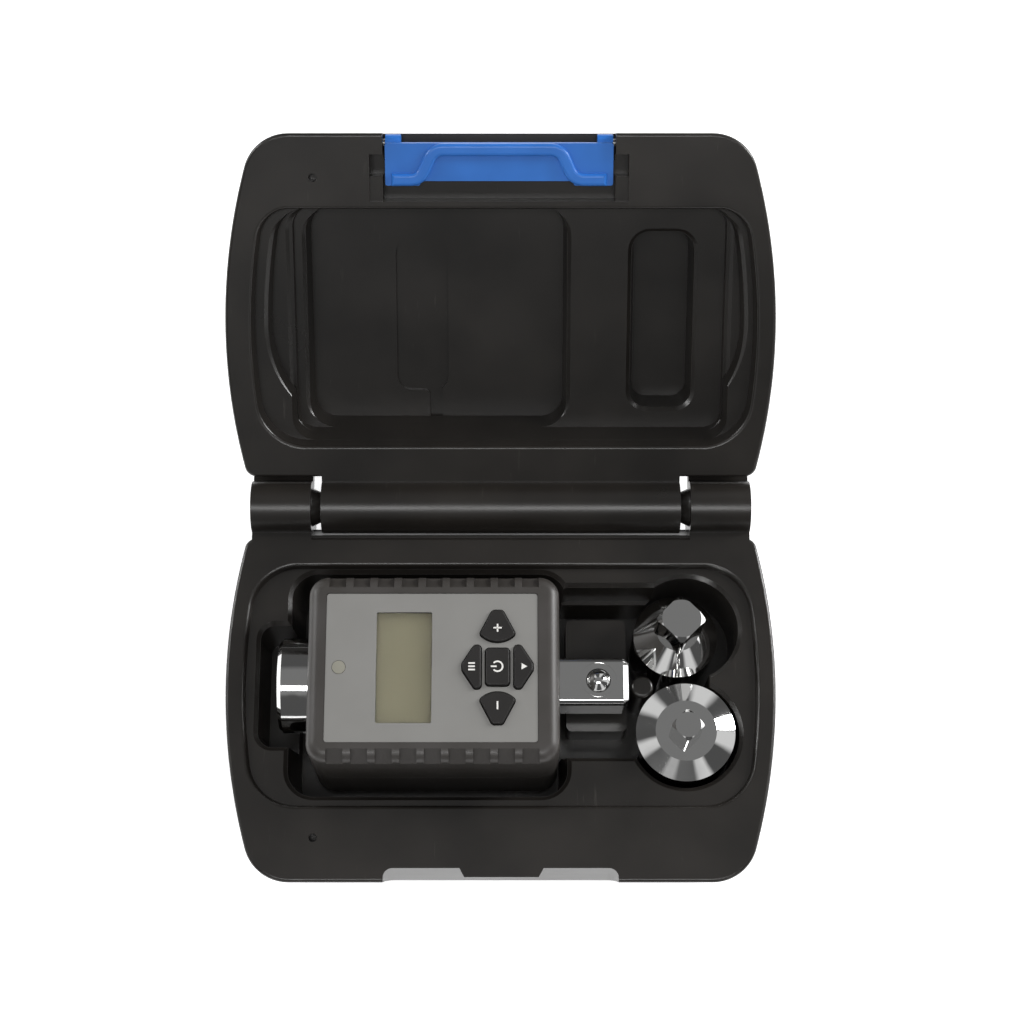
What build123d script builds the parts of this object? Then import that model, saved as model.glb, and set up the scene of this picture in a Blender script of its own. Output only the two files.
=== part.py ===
from build123d import *
from math import cos, radians, sin, sqrt, tan
import os

# Digital torque adapter in its open case, with two step-down drive adaptors.
# Millimetres. X runs along the hinge, Y towards the hinge and Z up.
# The origin is the centre of the case's underside.

# Case halves: distances marked back and front run from the hinge axis towards the catch
case_back = 8.3
case_front = 100.5
case_side_margin = 9.85
bow_at = 46.0
bow_radius = 163.0
front_corner = 12.0
back_corner = 3.0
base_corner = 8.0
base_depth = 30.0
rim_edge_round = 0.8
level_tolerance = 0.01
lid_depth = 26.0
case_draft = 10.0
case_edge_round = 5.0
parting_gap = 0.3
lid_opening = 143.35
panel_inset = 9.0
panel_relief = 0.8
pin_hole_radius = 1.1
pin_hole_depth = 4.0
pin_hole_x = -48.2
pin_hole_front = 89.0

# Hinge
barrel_radius = 7.0
barrel_half_length = 47.9
web_depth = 8.0
knuckle_start = 50.6
knuckle_end = 66.6
knuckle_neck_depth = 14.0
dome_radius = 5.2
dome_length = 2.4
dome_draft = 24.0
stop_reach = 11.3
stop_thickness = 4.0
hinge_pin_radius = 1.5
hinge_pin_inner = 38.0
hinge_pin_outer = 61.0
running_clearance = 0.05
push_clearance = 0.02

# Front catch of the base
notch_left = -30.1
notch_right = 30.2
notch_back = 96.8
notch_corner = 2.5
tongue_left = -9.3
tongue_right = 9.8
tongue_front = 99.1
tongue_depth = 1.5
tongue_flare = 1.2

# Tray of the base
step_back = 16.2
step_front = 80.9
step_inset = 4.9
step_corner = 13.0
step_depth = 2.0
step_draft = 15.0
pocket_draft = 5.0
pocket_corner = 7.0
pocket_gap_left = 6.2
pocket_gap_right = 2.4
pocket_gap_back = 6.4
pocket_gap_front = 5.2
seat_gap = 0.2
female_notch_end = 5.8
female_notch_side_gap = 4.0
female_notch_below = 3.5
female_notch_corner = 4.0
channel_back = 21.5
channel_front = 67.8
channel_depth = 13.0
channel_ledge = 1.2
saddle_back = 28.0
saddle_front = 58.5
saddle_below_drive = 3.6
saddle_past_drive = 0.2
saddle_round = 1.5
well_draft = 2.0
well_gap = 1.35
upper_well_from_drive = 15.6
upper_well_front = 33.0
upper_well_radius = 14.0
neck_from_drive = 21.6
post_from_drive = 4.0
post_front = 48.3
post_radius = 3.0
post_top = 4.5
mouth_round = 1.0
lip_draft = 45.0
post_round = 1.0

# Recess of the lid
recess_back = 17.0
recess_front = 81.0
recess_left_inset = 7.0
recess_right_inset = 5.2
recess_corner_back = 13.0
recess_corner_front = 9.0
recess_draft = 8.0
terrace_depth = 4.5
second_left_inset = 10.9
second_right_inset = 8.0
second_depth = 9.9
third_left = -55.6
third_right_inset = 11.95
third_depth = 12.6
third_corner = 6.0
deep_left = -51.6
deep_past_body = 2.7
deep_depth = 20.0
deep_corner = 7.0
second_corner_back = 30.0
terrace_round = 0.9
relief_left = -28.1
relief_right = -14.2
relief_back = 27.1
relief_front = 69.0
relief_depth = 1.0
relief_corner = 4.0
relief_tail_round = 1.5
relief_tail_x = -17.6
relief_tail_width = 3.4
slot_left_from_drive = 1.2
slot_right_from_drive = 18.0
slot_back = 24.1
slot_front = 72.4
slot_floor = 21.5
slot_corner = 5.0
slot_draft = 7.0

# Latch, in the lid: heights run from the rim towards the inside of the case
latch_left = -29.6
latch_right = 28.9
latch_side_gap = 0.6
latch_pivot_front = 97.0
latch_pin_radius = 1.0
latch_pin_length = 6.0
latch_pin_in_lid = 3.2
latch_ear_width = 4.0
latch_ear_radius = 2.2
latch_plate_offset = 2.5
latch_plate_thickness = 1.8
latch_plate_reach = 10.3
latch_plate_lift = 0.6
latch_middle_step = 1.2
latch_bead_width = 3.2
latch_bead_height = 1.3
latch_bead_round = 0.9
latch_bead_bend = 3.9
latch_rise_left = -20.6
latch_top_left = -17.2
latch_top_right = 15.4
latch_rise_right = 18.8
latch_hook_depth = 1.6
latch_hook_half_width = 8.0
latch_hook_thickness = 1.2
latch_recess_back = 82.8
latch_bay_back = 92.6
latch_floor_gap = 0.3
latch_rim_gap = 0.4
latch_bay_gap = 0.4
latch_ear_slot_width = 3.4
latch_ear_slot_back = 89.2
latch_ear_slot_front = 95.0
latch_side_step = 1.0

# Torque adapter housing
body_left = -49.3
bay_past_cells = 10.4
body_width = 48.6
body_height = 42.0
body_above_rim = 18.0
adapter_front = 48.5
body_corner = 5.0
body_edge_round = 3.0
underside_round = 2.0
front_wall = 4.4
rear_wall = 2.5
end_wall = 2.5
floor_wall = 3.2
shell_gap = 0.1
grip_count = 9
grip_pitch = 6.2
grip_width = 4.3
grip_depth = 2.3
grip_reach = 7.0

# Face of the adapter
panel_left = -44.6
panel_from_right = 5.6
panel_width = 38.8
panel_corner = 0.8
panel_thickness = 0.7
panel_sunk = 0.2
panel_fit = 0.1
face_wall = 3.0
window_left = -31.7
window_right = -17.5
window_length = 29.0
window_corner = 0.5
window_sunk = 1.3
window_thickness = 1.0
window_lip = 1.0
window_fit = 0.1
lamp_x = -41.2
lamp_radius = 1.7
lamp_fit = 0.1
keys_from_right = 15.85
key_gap = 0.25
key_proud = 0.9
key_flange = 0.5
key_flange_thickness = 0.7
key_seat_gap = 0.05
key_round = 0.4
key_travel = 0.6
key_rest_gap = 0.1
key_corner = 1.0
arrow_key_tip = 14.9
arrow_key_root = 6.5
arrow_key_shoulder = 8.6
arrow_key_half = 4.6
arrow_key_tip_half = 1.3
power_key_width = 6.1
power_key_length = 9.8
side_key_inner = 4.2
side_key_outer = 9.0
side_key_half = 5.7
side_key_shoulder = 5.9
side_key_tip_half = 0.9

# Electronics
board_thickness = 1.6
board_left = -43.0
board_from_right = 4.6
board_width = 31.6
board_below_top = 5.4
board_corner = 1.5
mat_thickness = 0.6
mat_margin = 0.8
board_post_radius = 1.6
board_post_inset = 2.2
lcd_margin = 2.4
lcd_gap = 0.1
buzzer_radius = 4.5
buzzer_height = 3.0
buzzer_x = -28.0
buzzer_side = 10.5
buzzer_hole_radius = 0.8

# Shaft: distances along X
square_half_inch = 12.7
square_three_eighths = 9.53
square_quarter = 6.35
socket_clearance = 0.15
socket_depth = 16.5
socket_corner = 0.5
female_below_face = 8.5
female_tip = -57.8
female_chamfer = 1.0
female_root = -38.5
strain_radius = 7.5
strain_start = -34.5
strain_before_collar = 2.5
strain_flat_drop = 0.9
collar_radius = 9.2
collar_length = 10.9
collar_sunk = 0.2
drive_reach = 18.3
drive_corner_round = 1.6
drive_tip_chamfer = 1.4
exit_clearance = 0.1
bush_wall = 1.0
bush_length = 4.0
bush_end_gap = 0.1
seal_section = 1.0
seal_pocket = 1.6
gauge_length = 8.0
gauge_width = 5.5
gauge_thickness = 0.3
gauge_pitch = 11.0
strain_flat_end = 3.0
ribbon_width = 2.4
ribbon_thickness = 0.3

# Detent balls
drive_ball_radius = 3.5
drive_ball_from_tip = 7.9
drive_ball_proud = 1.7
three_eighths_ball_radius = 2.4
three_eighths_ball_proud = 1.1
three_eighths_ball_height = 5.2
quarter_ball_radius = 1.5
quarter_ball_proud = 0.7
quarter_ball_height = 3.6
ball_clearance = 0.08
ball_lip = 0.3
stake_ring_width = 0.5
stake_ring_from_ball = 0.8
stake_ring_depth = 0.25
drive_spring_length = 5.0
adaptor_spring_length = 3.0
spring_wire = 0.5
spring_turns = 3
spring_side_gap = 0.25
spring_end_gap = 0.1

# Batteries and their bay
cell_radius = 5.15
cell_length = 44.5
cell_nub_radius = 1.9
cell_nub_length = 0.8
cell_side = 14.6
cells_from_left = 8.7
cell_gap = 0.1
contact_thickness = 0.5
contact_size = 7.0
cover_left = -41.9
cover_from_right = 7.9
cover_width = 42.4
cover_thickness = 1.9
cover_gap = 0.2
cover_lip = 1.3
cover_corner = 2.0
cover_screw_inset = 3.6

# Screws
housing_screw_radius = 1.25
housing_screw_head_radius = 2.1
housing_screw_head_height = 1.6
housing_screw_length = 26.0
housing_screw_recess = 3.0
screw_slack = 0.1
boss_radius = 2.9
boss_inset_x = 4.6
boss_inset_y = 5.2
cover_screw_length = 6.0
cover_screw_sink = 0.2
cover_head_height = 1.0
cover_boss_radius = 2.6
cover_boss_height = 6.5

# Step-down adaptors
three_eighths_radius = 11.15
three_eighths_barrel = 19.0
three_eighths_cone_end = 24.6
three_eighths_cone_radius = 5.6
three_eighths_length = 34.8
three_eighths_from_drive = 12.3
three_eighths_front = 36.0
three_eighths_corner = 1.1
lean_angle = 4.0
lean_direction = 58.0
quarter_radius = 12.95
quarter_flat_radius = 7.95
quarter_barrel = 23.6
quarter_cone_end = 25.6
quarter_length = 33.0
quarter_from_drive = 14.8
quarter_front = 61.4
quarter_corner = 0.8
adaptor_edge = 0.8
adaptor_socket_depth = 15.0
adaptor_turn = 45.0
three_eighths_tip = 5.1
quarter_tip = 3.3
quarter_spring_length = 2.2

# Derived places
hinge_y = (case_front + case_back) / 2
cells_start = body_left + cells_from_left
cells_end = cells_start + cell_length + cell_nub_length
body_right = cells_end + bay_past_cells
panel_right = body_right - panel_from_right
board_right = body_right - board_from_right
cover_right = body_right - cover_from_right
key_x = body_right - keys_from_right
collar_end = body_right - collar_sunk
collar_start = collar_end - collar_length
strain_end = collar_start - strain_before_collar
drive_tip = body_right + drive_reach
three_eighths_x = drive_tip + three_eighths_from_drive
quarter_x = drive_tip + quarter_from_drive
case_half_width = quarter_x + quarter_radius + well_gap + case_side_margin
female_radius = body_height / 2 - female_below_face
rim_z = base_depth
tray_floor_depth = body_height - body_above_rim + seat_gap
adapter_y = hinge_y - adapter_front
body_bottom = rim_z + body_above_rim - body_height
body_top = rim_z + body_above_rim
body_length = body_right - body_left
body_x = (body_left + body_right) / 2
axis_z = body_bottom + body_height / 2
half_gap = parting_gap / 2
latch_drop = latch_rim_gap + latch_bead_height + latch_plate_thickness + latch_plate_offset
rest_angle = 180 - lid_opening

tray = Plane(origin=(0, hinge_y, rim_z), x_dir=(1, 0, 0), z_dir=(0, 0, -1))
lid = Plane(
    origin=(0, hinge_y, rim_z),
    x_dir=(1, 0, 0),
    z_dir=(0, -sin(radians(rest_angle)), cos(radians(rest_angle))),
)

lid_axis = Axis(lid.origin, lid.z_dir)
shaft_plane = Plane(origin=(0, adapter_y, axis_z), x_dir=(1, 0, 0), z_dir=(0, -1, 0))
shaft_axis = Axis((0, adapter_y, axis_z), (1, 0, 0))

os.makedirs("parts", exist_ok=True)


def save(solid, name):
    """Label a finished piece and write it."""
    solid.label = name
    export_step(solid, "parts/" + name + ".step")


def inset_at(depth, draft):
    """How far a wall with this draft leans in at this depth."""
    return depth * tan(radians(draft))


def half_width(distance):
    """Half width of the case at a distance from the hinge axis."""
    return case_half_width - bow_radius + sqrt(bow_radius**2 - (distance - bow_at) ** 2)


def bowed_outline(back, front, left, right, back_round, front_round):
    """Straight ends and bowed sides, with the sides inset from the case's own."""
    with BuildLine() as border:
        ThreePointArc(
            (left - half_width(back), back),
            (left - half_width(bow_at), bow_at),
            (left - half_width(front), front),
        )
        Line((left - half_width(front), front), (half_width(front) - right, front))
        ThreePointArc(
            (half_width(front) - right, front),
            (half_width(bow_at) - right, bow_at),
            (half_width(back) - right, back),
        )
        Line((half_width(back) - right, back), (left - half_width(back), back))
    make_face(border.edges())
    fillet(vertices().group_by(Axis.Y)[0], back_round)
    fillet(vertices().group_by(Axis.Y)[-1], front_round)


def case_outline(inset, back_round):
    """Outline of one case half, smaller by the inset all round."""
    bowed_outline(
        case_back + inset, case_front - inset, inset, inset, back_round, front_corner
    )


def bowed_recess(top, step, draft, back, front, left, right, back_round, front_round):
    """Bowed pocket cut from one plane to the next, its walls leaning in."""
    lean = inset_at(abs(step), draft)
    with BuildSketch(top) as mouth:
        bowed_outline(back, front, left, right, back_round, front_round)
    with BuildSketch(top.offset(step)) as floor:
        bowed_outline(
            back + lean,
            front - lean,
            left + lean,
            right + lean,
            back_round - lean,
            front_round - lean,
        )
    loft((mouth.sketch, floor.sketch), mode=Mode.SUBTRACT)


def block_outline(left, right, back, front, corner):
    """Rectangle between two sides and two distances, with rounded corners."""
    with Locations(((left + right) / 2, (back + front) / 2)):
        RectangleRounded(right - left, front - back, corner)


def round_mouths(level, radius):
    """Round the edges of the openings in the largest face on a level."""
    at_level = faces().filter_by(
        lambda face: abs(level.to_local_coords(face.center()).Z) < level_tolerance
    )
    mouths = at_level.sort_by(SortBy.AREA)[-1].inner_wires()
    fillet([edge for mouth in mouths for edge in mouth.edges()], radius)


def lipped_pocket(level, left, right, back, front, corner, depth, draft):
    """Pocket below a level, with a sloping lip round its mouth."""
    for extra, reach, lean in ((mouth_round, mouth_round, lip_draft), (0, depth, draft)):
        with BuildSketch(level) as mouth:
            block_outline(
                left - extra, right + extra, back - extra, front + extra, corner + extra
            )
        extrude(mouth.sketch, amount=reach, taper=lean, mode=Mode.SUBTRACT)


def side_lips(level, left, right, back, front, corner):
    """Sloping lips along the two sides of a pocket's mouth in the lid."""
    with BuildSketch(level) as mouth:
        block_outline(
            left - terrace_round,
            right + terrace_round,
            back + terrace_round,
            front - terrace_round,
            corner,
        )
    extrude(mouth.sketch, amount=-terrace_round, taper=lip_draft, mode=Mode.SUBTRACT)


# Case base
tray_floor = tray.offset(tray_floor_depth)
ledge = tray.offset(step_depth)
below_ledge = tray_floor_depth - step_depth
pocket_left = body_left - pocket_gap_left
pocket_right = body_right + pocket_gap_right
pocket_back = adapter_front - body_width / 2 - pocket_gap_back
pocket_front = adapter_front + body_width / 2 + pocket_gap_front
upper_well_x = drive_tip + upper_well_from_drive
female_notch_half = female_radius + female_notch_side_gap
female_notch_depth = rim_z - axis_z + female_radius + female_notch_below
lower_well_radius = quarter_radius + well_gap
saddle_top_depth = rim_z - axis_z + square_half_inch / 2 + saddle_below_drive

with BuildPart() as case_base:
    with BuildSketch(tray.offset(half_gap)):
        case_outline(0, back_corner)
    with BuildSketch(tray.offset(base_depth)):
        case_outline(inset_at(base_depth, case_draft), base_corner)
    loft()
    fillet(case_base.faces().sort_by(Axis.Z)[0].edges(), case_edge_round)
    fillet(case_base.faces().sort_by(Axis.Z)[-1].edges(), rim_edge_round)

    # Hinge knuckles with their necks and lid stops
    for side in (-1, 1):
        with BuildSketch(Plane.YZ.offset(side * knuckle_start)):
            with Locations((hinge_y, rim_z)):
                Circle(barrel_radius)
            with Locations((hinge_y - case_back / 2, rim_z - (knuckle_neck_depth + half_gap) / 2)):
                Rectangle(case_back + back_corner, knuckle_neck_depth - half_gap)
            with Locations((hinge_y + stop_reach / 2, rim_z - half_gap - stop_thickness / 2)):
                Rectangle(stop_reach, stop_thickness)
        extrude(amount=side * (knuckle_end - knuckle_start))
        with BuildSketch(Plane.YZ.offset(side * knuckle_start)):
            with Locations((hinge_y, rim_z)):
                Circle(dome_radius)
        extrude(amount=-side * dome_length, taper=dome_draft)
        with BuildSketch(Plane.YZ.offset(side * hinge_pin_outer)):
            with Locations((hinge_y, rim_z)):
                Circle(hinge_pin_radius + push_clearance)
        extrude(amount=side * (hinge_pin_inner - hinge_pin_outer), mode=Mode.SUBTRACT)

    # Shallow step and pockets
    bowed_recess(
        tray.offset(half_gap),
        step_depth - half_gap,
        step_draft,
        step_back,
        step_front,
        step_inset,
        step_inset,
        step_corner,
        step_corner,
    )
    round_mouths(tray.offset(half_gap), mouth_round)
    lipped_pocket(
        ledge,
        pocket_left,
        pocket_right,
        pocket_back,
        pocket_front,
        pocket_corner,
        below_ledge,
        pocket_draft,
    )
    lipped_pocket(
        ledge,
        female_tip - female_notch_end,
        body_left,
        adapter_front - female_notch_half,
        adapter_front + female_notch_half,
        female_notch_corner,
        female_notch_depth - step_depth,
        pocket_draft,
    )
    lipped_pocket(
        ledge,
        body_right,
        upper_well_x,
        channel_back,
        channel_front,
        back_corner,
        channel_depth - step_depth,
        pocket_draft,
    )
    with BuildSketch(tray.offset(channel_depth)):
        lower = inset_at(channel_depth - step_depth, pocket_draft) + channel_ledge
        block_outline(
            body_x, upper_well_x, channel_back + lower, channel_front - lower, back_corner
        )
    extrude(amount=tray_floor_depth - channel_depth, taper=pocket_draft, mode=Mode.SUBTRACT)
    for middle, radius in (
        ((upper_well_x, upper_well_front), upper_well_radius),
        ((quarter_x, quarter_front), lower_well_radius),
    ):
        for extra, reach, well_lean in (
            (mouth_round, mouth_round, lip_draft),
            (0, below_ledge, well_draft),
        ):
            with BuildSketch(ledge):
                with Locations(middle):
                    Circle(radius + extra)
            extrude(amount=reach, taper=well_lean, mode=Mode.SUBTRACT)
    with BuildSketch(ledge):
        block_outline(
            drive_tip + saddle_past_drive,
            drive_tip + neck_from_drive,
            upper_well_front,
            quarter_front,
            back_corner,
        )
    extrude(amount=below_ledge, mode=Mode.SUBTRACT)

    # Saddle under the drive square, and the post at its tip
    with BuildSketch(tray_floor):
        block_outline(
            pocket_right,
            drive_tip + saddle_past_drive,
            saddle_back,
            saddle_front,
            saddle_round,
        )
    extrude(amount=saddle_top_depth - tray_floor_depth)
    with BuildSketch(tray_floor):
        with Locations((drive_tip + post_from_drive, post_front)):
            Circle(post_radius)
    extrude(amount=post_top - tray_floor_depth)
    post_plane = tray.offset(post_top)
    post_end = case_base.faces().filter_by(
        lambda face: abs(post_plane.to_local_coords(face.center()).Z) < level_tolerance
    )
    fillet(post_end.edges(), post_round)

    # Catch notch with its tongue, and the pin hole
    with BuildSketch(tray):
        block_outline(
            notch_left, notch_right, notch_back, case_front + 2 * notch_corner, notch_corner
        )
    extrude(amount=base_depth, mode=Mode.SUBTRACT)
    with BuildSketch(tray.offset(half_gap)):
        with BuildLine():
            Polyline(
                (tongue_left - tongue_flare, notch_back),
                (tongue_right + tongue_flare, notch_back),
                (tongue_right, tongue_front),
                (tongue_left, tongue_front),
                close=True,
            )
        make_face()
    extrude(amount=tongue_depth)
    with BuildSketch(tray):
        with Locations((pin_hole_x, pin_hole_front)):
            Circle(pin_hole_radius)
    extrude(amount=pin_hole_depth, mode=Mode.SUBTRACT)
save(case_base.part, "case_base")

# Case lid
with BuildPart() as case_lid:
    with BuildSketch(lid.offset(-half_gap)):
        case_outline(0, back_corner)
    with BuildSketch(lid.offset(-lid_depth)):
        case_outline(inset_at(lid_depth, case_draft), base_corner)
    loft()
    fillet(case_lid.faces().sort_by(lid_axis)[0].edges(), case_edge_round)
    fillet(case_lid.faces().sort_by(lid_axis)[-1].edges(), rim_edge_round)
    with BuildSketch(lid.offset(-lid_depth)):
        over_inset = inset_at(lid_depth, case_draft) + panel_inset
        bowed_outline(
            case_back + over_inset,
            case_front - over_inset,
            over_inset,
            over_inset,
            back_corner,
            back_corner,
        )
    extrude(amount=panel_relief, mode=Mode.SUBTRACT)

    # Hinge barrel on its web
    with BuildSketch(Plane.YZ.offset(-barrel_half_length)):
        with Locations((hinge_y, rim_z)):
            Circle(barrel_radius)
    extrude(amount=2 * barrel_half_length)
    with BuildSketch(lid.offset(-half_gap)):
        with Locations((0, case_back / 2)):
            Rectangle(2 * barrel_half_length, case_back + back_corner)
    extrude(amount=-web_depth)
    for side in (-1, 1):
        with BuildSketch(Plane.YZ.offset(side * barrel_half_length)):
            with Locations((hinge_y, rim_z)):
                Circle(hinge_pin_radius + running_clearance)
        extrude(
            amount=side * (hinge_pin_inner - parting_gap - barrel_half_length),
            mode=Mode.SUBTRACT,
        )

    # Stepped recess, deepest over the adapter's body
    bowed_recess(
        lid.offset(-half_gap),
        half_gap - terrace_depth,
        recess_draft,
        recess_back,
        recess_front,
        recess_left_inset,
        recess_right_inset,
        recess_corner_back,
        recess_corner_front,
    )
    round_mouths(lid.offset(-half_gap), terrace_round)
    lean = inset_at(terrace_depth, recess_draft)
    bowed_recess(
        lid.offset(-terrace_depth),
        terrace_depth - second_depth,
        recess_draft,
        recess_back + lean,
        recess_front - lean,
        second_left_inset,
        second_right_inset,
        second_corner_back,
        recess_corner_front,
    )
    bowed_recess(
        lid.offset(-terrace_depth),
        -terrace_round,
        lip_draft,
        recess_back + lean + terrace_round,
        recess_front - lean - terrace_round,
        second_left_inset - terrace_round,
        second_right_inset - terrace_round,
        second_corner_back,
        recess_corner_front,
    )
    third_sides = (
        third_left,
        case_half_width - third_right_inset,
        recess_back + lean,
        recess_front - lean,
        third_corner,
    )
    with BuildSketch(lid.offset(-terrace_depth)):
        block_outline(*third_sides)
    extrude(amount=terrace_depth - third_depth, taper=recess_draft, mode=Mode.SUBTRACT)
    side_lips(lid.offset(-second_depth), *third_sides)
    lean = inset_at(third_depth, recess_draft)
    deep_sides = (
        deep_left,
        body_right + deep_past_body,
        recess_back + lean,
        recess_front - lean,
        deep_corner,
    )
    with BuildSketch(lid.offset(-third_depth)):
        block_outline(*deep_sides)
    extrude(amount=third_depth - deep_depth, taper=recess_draft, mode=Mode.SUBTRACT)
    side_lips(lid.offset(-third_depth), *deep_sides)

    # Display relief with its tail, and the slot beside it
    with BuildSketch(lid.offset(-deep_depth)):
        block_outline(relief_left, relief_right, relief_back, relief_front, relief_corner)
        lean = inset_at(deep_depth, recess_draft)
        with Locations((relief_tail_x, (recess_back + lean + relief_back) / 2)):
            Rectangle(relief_tail_width, relief_back - recess_back - lean + relief_corner)
        fillet(
            vertices().filter_by_position(
                Axis.X, deep_left, relief_tail_x, inclusive=(False, False)
            ).filter_by_position(
                Axis.Y, relief_back - level_tolerance, relief_back + level_tolerance
            ).sort_by(Axis.X)[-1],
            relief_tail_round,
        )
    extrude(amount=-relief_depth, mode=Mode.SUBTRACT)
    slot_sides = (
        drive_tip + slot_left_from_drive,
        drive_tip + slot_right_from_drive,
        slot_back,
        slot_front,
        slot_corner,
    )
    with BuildSketch(lid.offset(-third_depth)):
        block_outline(*slot_sides)
    extrude(amount=third_depth - slot_floor, taper=slot_draft, mode=Mode.SUBTRACT)
    with BuildSketch(lid.offset(-third_depth)):
        block_outline(*slot_sides)
        offset(amount=terrace_round)
    extrude(amount=-terrace_round, taper=lip_draft, mode=Mode.SUBTRACT)

    # Latch recess, its deeper bay round the pivot, and the slots beside it
    latch_floor = latch_drop - latch_plate_offset + latch_hook_depth + latch_floor_gap
    bay_floor = latch_drop + latch_ear_radius + latch_bay_gap
    recess_left = latch_left - latch_side_gap
    recess_right = latch_right + latch_side_gap
    for back, floor in ((latch_recess_back, latch_floor), (latch_bay_back, bay_floor)):
        with BuildSketch(lid):
            with Locations(((recess_left + recess_right) / 2, (back + case_front + floor) / 2)):
                Rectangle(recess_right - recess_left, case_front + floor - back)
        extrude(amount=-floor, mode=Mode.SUBTRACT)
    with BuildSketch(lid):
        slot_middle = (latch_ear_slot_back + latch_ear_slot_front) / 2
        for wall, side in ((recess_left, -1), (recess_right, 1)):
            with Locations((wall + side * latch_ear_slot_width / 2, slot_middle)):
                Rectangle(latch_ear_slot_width, latch_ear_slot_front - latch_ear_slot_back)
    extrude(amount=-latch_floor, mode=Mode.SUBTRACT)
    with BuildSketch(lid):
        slot_middle = (latch_recess_back + latch_ear_slot_back) / 2
        for wall, side in ((recess_left, -1), (recess_right, 1)):
            with Locations((wall + side * latch_ear_slot_width / 2, slot_middle)):
                Rectangle(latch_ear_slot_width, latch_ear_slot_back - latch_recess_back)
    extrude(amount=-latch_side_step, mode=Mode.SUBTRACT)
    pivot = lid.from_local_coords((0, latch_pivot_front, -latch_drop))
    with BuildSketch(Plane.YZ.offset(recess_left - latch_pin_in_lid)):
        with Locations((pivot.Y, pivot.Z)):
            Circle(latch_pin_radius + push_clearance)
    extrude(amount=recess_right - recess_left + 2 * latch_pin_in_lid, mode=Mode.SUBTRACT)
    with BuildSketch(lid):
        with Locations((pin_hole_x, pin_hole_front)):
            Circle(pin_hole_radius)
    extrude(amount=-pin_hole_depth, mode=Mode.SUBTRACT)
save(case_lid.part, "case_lid")

# Hinge pins
with BuildPart() as hinge_pins:
    for side in (-1, 1):
        with BuildSketch(Plane.YZ.offset(side * hinge_pin_inner)):
            with Locations((hinge_y, rim_z)):
                Circle(hinge_pin_radius)
        extrude(amount=side * (hinge_pin_outer - hinge_pin_inner))
save(hinge_pins.part, "hinge_pins")

# Latch, lying in its recess with the grip bead towards the viewer
latch_plane = lid.offset(latch_plate_offset - latch_drop)
latch_free = latch_pivot_front - latch_plate_reach
latch_middle_free = latch_free + latch_middle_step
latch_top = latch_pivot_front + latch_plate_lift
bead_half = latch_bead_width / 2
with BuildPart() as latch:
    with BuildSketch(latch_plane):
        block_outline(latch_left, latch_right, latch_middle_free, latch_top, latch_plate_lift)
        for left, right in ((latch_left, latch_rise_left), (latch_rise_right, latch_right)):
            block_outline(left, right, latch_free, latch_top, latch_plate_lift)
    extrude(amount=latch_plate_thickness)
    with BuildSketch(latch_plane.offset(latch_plate_thickness)):
        with BuildLine() as bead_line:
            FilletPolyline(
                (latch_left + bead_half, latch_free + bead_half),
                (latch_rise_left, latch_free + bead_half),
                (latch_top_left, latch_top - bead_half),
                (latch_top_right, latch_top - bead_half),
                (latch_rise_right, latch_free + bead_half),
                (latch_right - bead_half, latch_free + bead_half),
                radius=latch_bead_bend,
            )
        trace(bead_line.edges(), latch_bead_width)
    extrude(amount=latch_bead_height)
    fillet(latch.faces().sort_by(lid_axis)[-1].edges(), latch_bead_round)
    with BuildSketch(latch_plane):
        with Locations((0, latch_middle_free + latch_hook_thickness / 2)):
            Rectangle(2 * latch_hook_half_width, latch_hook_thickness)
    extrude(amount=-latch_hook_depth)
    for start, side in ((latch_left, 1), (latch_right, -1)):
        with BuildSketch(Plane(origin=(start, hinge_y, rim_z), x_dir=lid.y_dir, z_dir=(1, 0, 0))):
            with Locations((latch_pivot_front, -latch_drop)):
                Circle(latch_ear_radius)
            with Locations((latch_pivot_front, latch_plate_offset / 2 - latch_drop)):
                Rectangle(2 * latch_plate_lift, latch_plate_offset + latch_plate_thickness)
        extrude(amount=side * latch_ear_width)
    with BuildSketch(Plane.YZ.offset(latch_left)):
        with Locations((pivot.Y, pivot.Z)):
            Circle(latch_pin_radius + running_clearance)
    extrude(amount=latch_right - latch_left, mode=Mode.SUBTRACT)
save(latch.part, "latch")

# Latch pins
with BuildPart() as latch_pins:
    for start, side in (
        (recess_left - latch_pin_in_lid, 1),
        (recess_right + latch_pin_in_lid, -1),
    ):
        with BuildSketch(Plane.YZ.offset(start)):
            with Locations((pivot.Y, pivot.Z)):
                Circle(latch_pin_radius)
        extrude(amount=side * latch_pin_length)
save(latch_pins.part, "latch_pins")

# Adapter housing: the front half carries the face, the rear half the battery bay
body_centre = (body_x, adapter_y)
inner_top = body_top - face_wall
board_top = body_top - board_below_top
board_under = board_top - board_thickness
panel_floor = body_top - panel_thickness - panel_sunk
panel_x = (panel_left + panel_right) / 2
window_x = (window_left + window_right) / 2
lens_top = body_top - window_sunk
seal_left = body_left + end_wall
bush_left = seal_left + seal_pocket
seal_right = body_right - end_wall
bush_right = seal_right - seal_pocket
female_bore = female_radius + push_clearance
collar_bore = collar_radius + push_clearance
boss_x = body_length / 2 - boss_inset_x
boss_y = body_width / 2 - boss_inset_y
screw_top = body_bottom + housing_screw_recess + housing_screw_head_height
cell_z = body_bottom + cover_thickness + cell_gap + cell_radius
key_names = ("key_plus", "key_minus", "key_power", "key_left", "key_right")


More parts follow.
